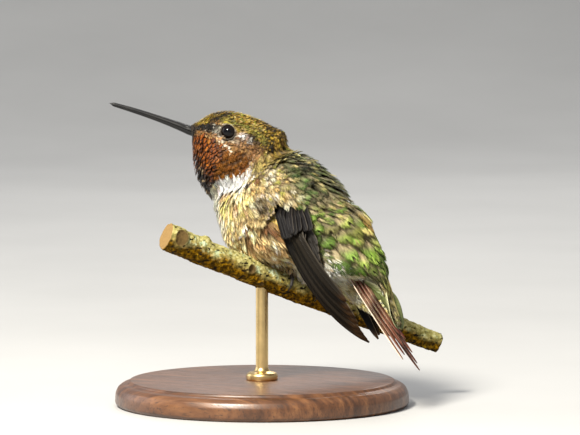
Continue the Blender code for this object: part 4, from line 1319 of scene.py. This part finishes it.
def dress_wing(side, label, finish):
    """A folded wing: eight primaries, four secondaries and four tertials, and over their roots a
    block of eight long dark coverts."""
    heap = Heap()
    rng = np.random.default_rng(60 + int(side))
    shell, shell_normals = OUTER[::4, ::4].reshape(-1, 3), NORMAL[::4, ::4].reshape(-1, 3)

    def lay(start, end, spread, last_spread, level, half_width, colour, tip_colour, rim, most,
            curl=0.0, blunt=0.72):
        """One feather from start to end, in shares of the wing; spread is how far it lies to the
        rear of the wing's mid-line, and level how far out, each at its root and at its end."""
        centres, acrosses, outs = [], [], []
        for share in np.linspace(start, end, VANE_STATIONS):
            point, _, across, out = wing_frame(share, side)
            t = (share - start) / (end - start)
            if last_spread is None:
                aside = spread * (1.0 - 0.45 * share)
            else:
                aside = spread + (last_spread - spread) * t + curl * math.sin(math.pi * t)
            centre = point + across * aside + out * (level[0] + (level[1] - level[0]) * t)
            nearest = np.argmin(((shell - centre) ** 2).sum(1))
            above = (centre - shell[nearest]) @ shell_normals[nearest]
            centres.append(centre - out * max(above - np.interp(t, *most), 0.0))
            acrosses.append(across)
            outs.append(out)
        wide = half_width * vane_profile(blunt)
        across, along = vane(centres, acrosses, outs, wide, 0.10, heap)
        tone = mixed(colour, tip_colour, smooth(along, 0.90, 1.0)[:, None])
        tone = np.where((np.abs(across) < 0.05)[:, None], tone * 0.5, tone)
        tone = tone * (0.75 + 0.25 * smooth(-across, -0.6, 0.6))[:, None]
        edge = smooth(across, 0.72, 1.0)[:, None] * rim
        heap.paint(mixed(tone, srgb(128, 116, 100), edge))

    for index, tip in enumerate(PRIMARY_TIPS):
        share = index / (len(PRIMARY_TIPS) - 1.0)
        outermost = index == 0
        colour = srgb(16, 15, 14) if outermost else srgb(25, 21, 15)
        spread = WING_HALF_SPREAD * (1.8 * share - 1.0) + 0.12 * rng.normal()
        lay(ARM_END - 0.12, tip * PRIMARY_REACH[side], spread,
            3.2 * share - 0.3 + 0.16 * rng.normal(), (VANE_STEP * index, VANE_STEP * index),
            0.80 if outermost else 1.0, colour * (0.3 + 1.0 * (index % 2)), srgb(64, 42, 20),
            (0.9, 0.2, 0.55)[index % 3], PRIMARY_MOST, curl=0.4 * share - 1.0)
    for index, tip in enumerate(SECONDARY_TIPS):
        spread = WING_HALF_SPREAD * (2.2 * index / (len(SECONDARY_TIPS) - 1) - 1.2) + 0.15
        level = VANE_STEP * (index + 2.4)
        lay(ARM_END - 0.10, tip, spread, None, (level, level), 0.95, srgb(15, 14, 13),
            srgb(28, 25, 22), 0.25, SECONDARY_MOST)
    for index, tip in enumerate(TERTIAL_TIPS):
        level = 0.9 + 0.15 * index
        most = ((0.0, 0.35, 0.6, 1.0), (-1.6, -0.8, 0.3, 0.6 + 0.1 * index))
        lay(0.26, tip, 2.2, 1.9 + 0.5 * index, (level, level + 0.2), 0.55, srgb(46, 43, 40),
            srgb(62, 58, 54), 0.5, most, blunt=0.8)
    for index in range(COVERTS):
        share = index / (COVERTS - 1.0)
        end = 0.390 + 0.028 * share**1.5 + 0.006 * rng.normal()
        spread = -0.8 + 2.4 * share + 0.14 * rng.normal()
        half_width = 0.64 * rng.uniform(0.85, 1.15)
        colour = srgb(25, 23, 24) * rng.uniform(0.75, 1.25)
        rim = rng.uniform(0.05, 0.28)
        last_spread = -1.55 + 5.3 * share + 0.14 * rng.normal()
        most = ((0.0, 0.22, 0.34, 0.55, 1.0),
                (-2.2, -1.9, -0.8 - 0.7 * share, 0.35 - 0.25 * share, 1.15 + 0.35 * share))
        lay(0.155 + 0.03 * share, end, spread, last_spread,
            (0.4 - 0.5 * share, 1.60 + 0.4 * share), half_width, colour, srgb(34, 32, 31), rim,
            most, curl=0.4 * share, blunt=0.92)
    made = heap.mesh(f"wing_{label}_vanes")
    return finish_piece(made, finish, "flight_feathers", f"wing_{label}_feathers")


TAIL_TAPERS = (0.42, 0.7, 0.58, 0.58, 0.58)
COVERING_SECTIONS = (15.9, 16.6, 17.4, 18.8)     # the central pair's run over the coverts, and
COVERING_ANGLES = (74, 55, 48, 45)               # its angles from the back


def dress_tail(finish):
    """Ten tail feathers: a grey-green pair on the coverts, then four pairs, rusty with dark bands
    and pale bands of painted highlight, the last of them pale-edged."""
    along = np.array((math.cos(TAIL_PITCH), 0.0, -math.sin(TAIL_PITCH)))
    up = np.array((math.sin(TAIL_PITCH), 0.0, math.cos(TAIL_PITCH)))
    right = np.array((0.0, math.cos(TAIL_ROLL), 0.0)) - up * math.sin(TAIL_ROLL)
    up = -np.cross(right, along)
    heap = Heap()
    rng = np.random.default_rng(71)

    def central(side):
        s = np.linspace(COVERING_SECTIONS[0], COVERING_SECTIONS[-1], VANE_STATIONS)
        phi = side * np.radians(np.interp(s, COVERING_SECTIONS, COVERING_ANGLES))
        outs = sample(NORMAL, s, phi)
        centres = sample(OUTER, s, phi) + outs * 0.3
        return centres, unit(np.cross(outs, np.gradient(centres, axis=0))), outs

    def spread_pair(side, pair, length):
        aside = side * TAIL_SPREAD * (pair + 0.5)
        root = TAIL_ROOT + right * aside - up * (TAIL_STEP * pair + 0.03 * side)
        splay = 0.020 * pair * side
        reaches = np.linspace(-1.0, length + TAIL_SKEW * aside, VANE_STATIONS)
        centres = [root + along * t + right * splay * max(t, 0) for t in reaches]
        return centres, [right] * VANE_STATIONS, [up] * VANE_STATIONS

    for pair, length in enumerate(TAIL_LENGTHS):
        for side, _ in SIDES:
            middle = pair == 0
            frames = central(side) if middle else spread_pair(side, pair, length)
            wide = (1.45 - 0.09 * pair) * vane_profile(TAIL_TAPERS[pair])
            across, share = vane(*frames, wide, 0.12, heap)
            outward = across if middle else side * across
            if middle:
                tone = np.tile(srgb(92, 98, 64), (len(share), 1))
                rim, rim_colour = 0.7, srgb(214, 212, 176)
            else:
                dark = (0.85 * bell(share, 0.45, 0.16) + 0.5 * bell(share, 0.2, 0.06))[:, None]
                # Two pale pinkish bands across each feather: painted highlight where light catches
                # the vane
                painted_highlight = (0.5 * bell(share, 0.33, 0.06) + 0.25 * bell(share, 0.7, 0.1))[:, None]
                rust = srgb(104, 54, 40) * rng.uniform(0.7, 1.1)
                tone = mixed(mixed(rust, srgb(32, 18, 18), dark), srgb(206, 168, 146), painted_highlight)
                rim, rim_colour = (1.0 if pair == 4 else 0.1), srgb(246, 228, 208)
            shaft = srgb(206, 172, 150) if pair in (2, 4) else tone * 0.6
            tone = np.where((np.abs(across) < 0.05)[:, None], shaft, tone)
            edge = smooth(outward, 0.55, 0.95) * rim + smooth(-outward, 0.70, 0.95) * 0.15
            edge = np.clip(edge, 0, 1)[:, None]
            heap.paint(mixed(tone, rim_colour, edge))
    return finish_piece(heap.mesh("tail_vanes"), finish, "tail_feathers", "tail")


# ---------------- bill and eyes

def dress_bill(finish):
    """Two mandibles with a thin gap between them, a ridge above and slit nostrils."""
    along = np.array((-math.cos(BILL_PITCH), 0.0, math.sin(BILL_PITCH)))
    rise = np.array((math.sin(BILL_PITCH), 0.0, math.cos(BILL_PITCH)))
    heap = Heap()
    a = np.linspace(0, math.pi, 22)
    ridge = 0.05 * bell(a, math.pi / 2, 0.35)
    nostril_place = bell(a, 0.5, 0.22) + bell(a, math.pi - 0.5, 0.22)
    flat = np.linspace(-1, 1, 8)[1:-1]
    for upper, reach, shift, tall, broad in ((True, 1.0, 0.02, 1.0, 1.0),
                                             (False, 0.985, -0.10, 0.88, 0.86)):
        rings = []
        for t in np.concatenate((np.linspace(-0.10, 0.9, 52), np.linspace(0.91, reach, 10))):
            run = max(t, 0.0)
            half_height = 0.5 + 0.36 * (1 - run) ** 3 - 0.18 * run**4
            half_width = half_height * (1.0 + 0.25 * (1 - run) ** 2)
            shrink = 1.0 - 0.9 * smooth(t, 0.93, reach + 0.002)
            droop = BILL_DROOP * (0.5 - 2 * (run - 0.5) ** 2)
            centre = BILL_BASE + along * BILL_LENGTH * t + rise * (droop + shift * half_height)
            height = np.sin(a) ** 0.9 * half_height * tall
            width = np.cos(a) * half_width * broad
            if upper:
                height += ridge * half_height
                width -= np.cos(a) * 0.20 * bell(t, 0.055, 0.035) * nostril_place
            width = np.concatenate((width, flat * half_width * 0.9)) * shrink
            height = np.concatenate((height, np.full(len(flat), -0.01))) * shrink
            ring = centre + np.outer(height if upper else -height, rise)
            ring[:, 1] += width
            rings.append(turned(ring))
        heap.add(*loft(rings))
    return finish_piece(heap.mesh("bill_horn"), finish, "bill", "bill")


def dress_eye(side, label, finish):
    """The eyeball's front, with the cornea's slight bulge."""
    centre, look = eye_axis(side)
    first = unit(np.cross(look, (0.0, 0.0, 1.0)))
    second = np.cross(look, first)
    around = np.linspace(0, TAU, 56, endpoint=False)
    circle = np.outer(np.cos(around), first) + np.outer(np.sin(around), second)
    rings = []
    for polar in np.linspace(0.004, math.pi * 0.62, 34):
        radius = EYE_RADIUS + 0.10 * bell(polar, 0.0, 0.55)
        rings.append(centre + look * radius * math.cos(polar) + circle * radius * math.sin(polar))
    points, faces = loft(rings)
    _, aside = about_eye(points, side)
    made = tri_mesh(f"eyeball_{label}", points, faces, {"rim": aside / APERTURE})
    return finish_piece(made, finish, "eye", f"eye_{label}")


# ---------------- branch, feet and stand

def branch_point(reach, angle=0.0, distance=0.0):
    """A point by its reach along the branch, its angle from the top, and its distance out."""
    cos, sin = math.cos(BRANCH_HEADING), math.sin(BRANCH_HEADING)
    level, fall = math.cos(BRANCH_SLOPE), math.sin(BRANCH_SLOPE)
    along = np.array((cos * level, sin * level, -fall))
    front = np.array((-sin, cos, 0.0))
    top = np.cross(along, front)
    reach, angle, distance = np.broadcast_arrays(*(np.asarray(x, float)
                                                   for x in (reach, angle, distance)))
    axis = reach[..., None] * along
    axis[..., 2] += BRANCH_BEND * reach**2 - BRANCH_DROP
    return axis + distance[..., None] * (np.cos(angle)[..., None] * top
                                         + np.sin(angle)[..., None] * front)


def arc_from(angle, turn):
    """The way round the bark from a turn to an angle, in millimetres."""
    return ((angle - turn + math.pi) % TAU - math.pi) * BRANCH_RADIUS


def bark_radius(reach, angle):
    """The branch's radius with its low ridges and its knots."""
    ridges = 0.035 * np.sin(3 * angle + 0.35 * reach) + 0.025 * np.sin(5 * angle - 0.6 * reach)
    radius = BRANCH_RADIUS * (1.0 + ridges - BRANCH_TAPER * reach)
    for where, turn, size, height in BRANCH_KNOTS:
        far = (reach - where) ** 2 + arc_from(angle, turn) ** 2
        radius = radius + height * np.exp(-far / size**2)
    return radius


def dress_branch(finish):
    """The bark with its flakes, pits, scars and lichen, and rings on the cut ends."""
    r, a = np.meshgrid(np.linspace(BRANCH_START, BRANCH_END, 420),
                       np.linspace(0, TAU, 120, endpoint=False), indexing="ij")
    where = np.stack((r, np.cos(a) * BRANCH_RADIUS, np.sin(a) * BRANCH_RADIUS), -1)
    radius = bark_radius(r, a)
    radius = radius + 0.07 * ripple(where * (0.6, 1, 1), 1.6, 81) + 0.05 * ripple(where, 0.7, 82)
    radius = radius + 0.07 * smooth(ripple(where * (0.7, 1, 1), 1.1, 83), 0.15, 0.35)
    radius = radius - 0.12 * smooth(-ripple(where, 1.3, 84), 0.75, 1.0)
    scar = np.zeros_like(r)
    for reach, turn, size in BRANCH_SCARS:
        far = np.hypot(r - reach, arc_from(a, math.radians(turn)))
        radius = radius + 0.22 * bell(far, size, 0.25) - 0.25 * (1 - smooth(far, 0.2, size))
        scar = np.maximum(scar, 1 - smooth(far, size * 0.85, size * 1.15))
    rings = branch_point(r, a, radius)
    top = np.cos(a) * 0.5 + 0.5
    lichen = np.clip(0.25 + 1.2 * bell(r, -6.0, 4.5) + 0.6 * bell(r, -21, 7), 0, 1)
    lichen *= smooth(top, 0.42, 0.66)
    heap = Heap()
    bare = np.zeros(r.size + 2)
    fields = {key: np.concatenate((value.ravel(), (0.0, 0.0)))
              for key, value in (("top", top), ("scar", scar), ("lichen", lichen))}
    heap.add(*loft(rings), **fields, cut=bare, reach=bare)
    for outline, way in ((rings[0], -1.0), (rings[-1], 1.0)):
        middle = outline.mean(0)
        proud = branch_point(way * 0.02) - branch_point(0.0)
        face = [middle + (outline - middle) * share + proud
                for share in np.linspace(0.02, 0.985, 26)]
        back = [middle + (outline - middle) * share - proud
                for share in np.linspace(0.985, 0.02, 4)]
        points, faces = loft(face + back)
        heap.add(points, faces, top=0.5, scar=0.0, lichen=0.0, cut=1.0,
                 reach=np.linalg.norm(points - middle, axis=1))
    return finish_piece(heap.mesh("branch_bark"), finish, "bark", "perch")


def tube(path, radii, sides=14):
    """A closed tube round a path."""
    path = np.asarray(path, float)
    guide = np.array((0.31, 0.17, 0.93))
    around = np.linspace(0, TAU, sides, endpoint=False)
    rings = []
    for point, way, radius in zip(path, unit(np.gradient(path, axis=0)), radii):
        first = unit(np.cross(way, guide))
        second = np.cross(way, first)
        rings.append(point + radius * (np.outer(np.cos(around), first)
                                       + np.outer(np.sin(around), second)))
        guide = np.cross(first, way)
    return loft(rings)


# Each toe's lean along the branch, and the way that it turns down round the bark
TOES = ((-1.0, 2.06), (0.0, 2.06), (1.0, 2.06), (0.0, -1.83))
CLAW_START = 0.76                    # a share of the toe's turn
CLAW_END = 1.14


def dress_foot(side, label, finish, claw_finish):
    """Four padded toes round the bark with arched claws, and the bare shank."""
    foot = FOOT_OFFSET * side
    skin, claws = Heap(), Heap()

    def on_bark(lean, turn, t, above):
        reach = foot + lean * (0.25 + 0.75 * math.sqrt(max(t, 0.0)))
        bark = float(bark_radius(np.array(reach), np.array(turn * t)))
        return branch_point(reach, turn * t, bark + above)

    for lean, turn in TOES:
        path, radii = [], []
        for t in np.linspace(-0.08, 0.80, 34):
            ahead = max(t, 0.0)
            pads = 0.10 * abs(math.sin(ahead * 15.0)) + 0.08 * bell(ahead, 0.42, 0.08)
            radii.append((TOE_RADIUS - 0.08 * ahead) * (0.94 + pads))
            path.append(on_bark(lean, turn, t, radii[-1] * 0.85))
        skin.add(*tube(path, radii))
        path, radii = [], []
        for t in np.linspace(CLAW_START, CLAW_END, 16):
            share = (t - CLAW_START) / (CLAW_END - CLAW_START)
            arch = 0.20 * math.sin(math.pi * share ** 0.8)
            radii.append(0.21 * (1 - share) ** 0.75 + 0.012)
            path.append(on_bark(lean, turn, t, 0.20 + arch - 0.22 * share**2))
        claws.add(*tube(path, radii, 10))
    ankle = branch_point(foot, 0.0, BRANCH_RADIUS * 1.06 + 0.55)
    ts = np.linspace(-0.05, 1.0, 22)
    skin.add(*tube([ankle + SHANK_REACH * t for t in ts],
                   [0.42 + 0.10 * bell(t, 0.0, 0.12) + 0.02 * math.sin(40 * t) for t in ts]))
    finish_piece(claws.mesh(f"claws_{label}"), claw_finish, "foot_skin")
    return finish_piece(skin.mesh(f"foot_{label}"), finish, "foot_skin", f"leg_{label}")


def lathe(name, profile, finish, slot, cad_node, steps=160):
    """A turned piece with softly broken corners, from (radius, height) in row millimetres."""
    profile = np.array(profile, float)
    rounded = [profile[0]]
    for before, corner, after in zip(profile[:-2], profile[1:-1], profile[2:]):
        back, ahead = before - corner, after - corner
        cut = min(0.25, 0.35 * np.linalg.norm(back), 0.35 * np.linalg.norm(ahead))
        start, end = corner + unit(back) * cut, corner + unit(ahead) * cut
        for t in (0.0, 0.33, 0.67, 1.0):
            rounded.append(start * (1 - t) ** 2 + 2 * corner * t * (1 - t) + end * t * t)
    rounded.append(profile[-1])
    around = np.linspace(0, TAU, steps, endpoint=False)
    rings = [np.stack((max(r, 0.01) * np.cos(around), max(r, 0.01) * np.sin(around),
                       np.full(steps, z)), 1) - FEET for r, z in rounded]
    made = tri_mesh(name, *loft(rings))
    made.data.set_sharp_from_angle(angle=math.radians(40))
    return finish_piece(made, finish, slot, cad_node)


def dress_stand(wood, metal):
    """A moulded disc, and a rod on a small flange, both as wide and high as the CAD's."""
    low, high = (np.array(v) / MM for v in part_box("stand_base"))
    edge, top = (high[0] - low[0]) / 2, high[2]
    lathe("stand_base_turned", (
        (0.0, top), (edge - 2.6, top), (edge - 2.3, top - 0.5), (edge - 1.3, top - 0.7),
        (edge - 0.5, top - 1.3), (edge - 0.1, top - 2.2), (edge, 0.6), (edge - 0.6, 0.0),
        (0.0, 0.0)), wood, "base_wood", "stand_base")
    low, high = (np.array(v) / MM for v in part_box("stand_rod"))
    flange, tip = (high[0] - low[0]) / 2, high[2]
    lathe("stand_rod_turned", (
        (0.0, tip), (ROD_RADIUS, tip), (ROD_RADIUS, top + 2.1), (ROD_RADIUS + 0.4, top + 1.5),
        (flange - 0.3, top + 1.3), (flange, top + 0.9), (flange, top), (0.0, top)),
        metal, "rod_brass", "stand_rod", 64)


# ---------------- stage

def direction(azimuth, elevation):
    """From the model towards a lamp or camera, with angles in radians."""
    return np.array((math.sin(azimuth) * math.cos(elevation),
                     -math.cos(azimuth) * math.cos(elevation), math.sin(elevation)))


def aim(name, data, position, target):
    """A lamp or camera in its place, looking at the target."""
    made = bpy.data.objects.new(name, data)
    made.location = position
    made.rotation_mode = "QUATERNION"
    made.rotation_quaternion = Vector(target - position).to_track_quat("-Z", "Y")
    bpy.context.scene.collection.objects.link(made)
    return made


SKY_COLOUR = (0.95, 0.97, 1.0, 1.0)
SKY_STRENGTH = 0.46


def make_floor():
    """A pale floor that curls up a little behind the model, low enough for a view from there."""
    profile = [(-FLOOR_DEPTH, 0.0)] + [
        (0.55 + 0.5 * math.sin(t), 0.5 - 0.5 * math.cos(t)) for t in np.linspace(0, 0.74, 12)]
    back = direction(VIEW_AZIMUTH + math.pi, 0.0)[:2]
    right = direction(VIEW_AZIMUTH + math.pi / 2, 0.0)[:2]
    points = []
    for away, up in profile:
        for aside in (-FLOOR_WIDTH, FLOOR_WIDTH):
            points.append((*(back * away + right * aside), up - 0.02 * MM))
    faces = [(2 * i, 2 * i + 1, 2 * i + 3, 2 * i + 2) for i in range(len(profile) - 1)]
    mesh = bpy.data.meshes.new("floor")
    mesh.from_pydata(points, [], faces)
    mesh.shade_smooth()
    mesh.materials.append(floor_material("floor_pale"))
    floor = bpy.data.objects.new("floor", mesh)
    bpy.context.scene.collection.objects.link(floor)


def light_studio():
    world = bpy.data.worlds.new("studio")
    world.use_nodes = True
    background = world.node_tree.nodes["Background"].inputs
    background["Color"].default_value = SKY_COLOUR
    background["Strength"].default_value = SKY_STRENGTH
    bpy.context.scene.world = world
    bpy.context.scene.view_settings.view_transform = "Standard"
    target = place((0.0, 0.0, 8.0))
    for name, azimuth, elevation, distance, size, power, colour in LAMPS:
        light = bpy.data.lights.new(name, "AREA")
        light.energy, light.size, light.color = power, size, colour
        way = direction(math.radians(azimuth), math.radians(elevation))
        aim(name, light, target + way * distance, target)


def make_camera():
    right = direction(VIEW_AZIMUTH + math.pi / 2, 0.0)
    way = direction(VIEW_AZIMUTH, VIEW_ELEVATION)
    up = np.cross(way, right)
    target = place(right * VIEW_SHIFT[0] + up * VIEW_SHIFT[1])
    data = bpy.data.cameras.new("camera")
    data.sensor_width = 36.0
    data.lens = data.sensor_width * VIEW_DISTANCE / VIEW_WIDTH
    data.clip_start = 0.01
    bpy.context.scene.camera = aim("camera", data, target + way * VIEW_DISTANCE, target)


def main():
    make_camera()
    make_floor()
    light_studio()
    build_skin(plumage("plumage_skin", barbs=0, lean=0, relief_mm=0.05))
    make_coat(
        plumage("plumage_face", barbs=14, lean=8, relief_mm=0.02, contrast=0.35, saturation=1.05),
        plumage("plumage_throat", barbs=18, lean=10, relief_mm=0.02, sheen=0.0, roughness=0.58,
                saturation=1.08),
        plumage("plumage_back", barbs=30, lean=18, relief_mm=0.03, saturation=1.0),
        plumage("plumage_soft", barbs=10, lean=4, relief_mm=0.02, contrast=0.2, saturation=1.0))
    flight = plumage("plumage_flight", barbs=170, lean=16, relief_mm=0.02, roughness=0.55,
                     sheen=0.0, specular=0.12, saturation=1.0)
    for side, label in SIDES:
        dress_wing(side, label, flight)
    dress_tail(plumage("plumage_tail", barbs=120, lean=14, relief_mm=0.02, roughness=0.45,
                       sheen=0.0))
    dress_bill(horn("bill_black", (0.004, 0.004, 0.005), (0.014, 0.013, 0.012), 0.42))
    eye = eye_material("eye_dark")
    foot_skin = skin_of_foot("foot_scales")
    claw = horn("claw_black", (0.008, 0.007, 0.007), (0.03, 0.025, 0.022), 0.25)
    for side, label in SIDES:
        dress_eye(side, label, eye)
        dress_foot(side, label, foot_skin, claw)
    dress_branch(bark_material("bark"))
    dress_stand(walnut_material("walnut"), brass_material("brass"))
    bpy.context.view_layer.update()


main()
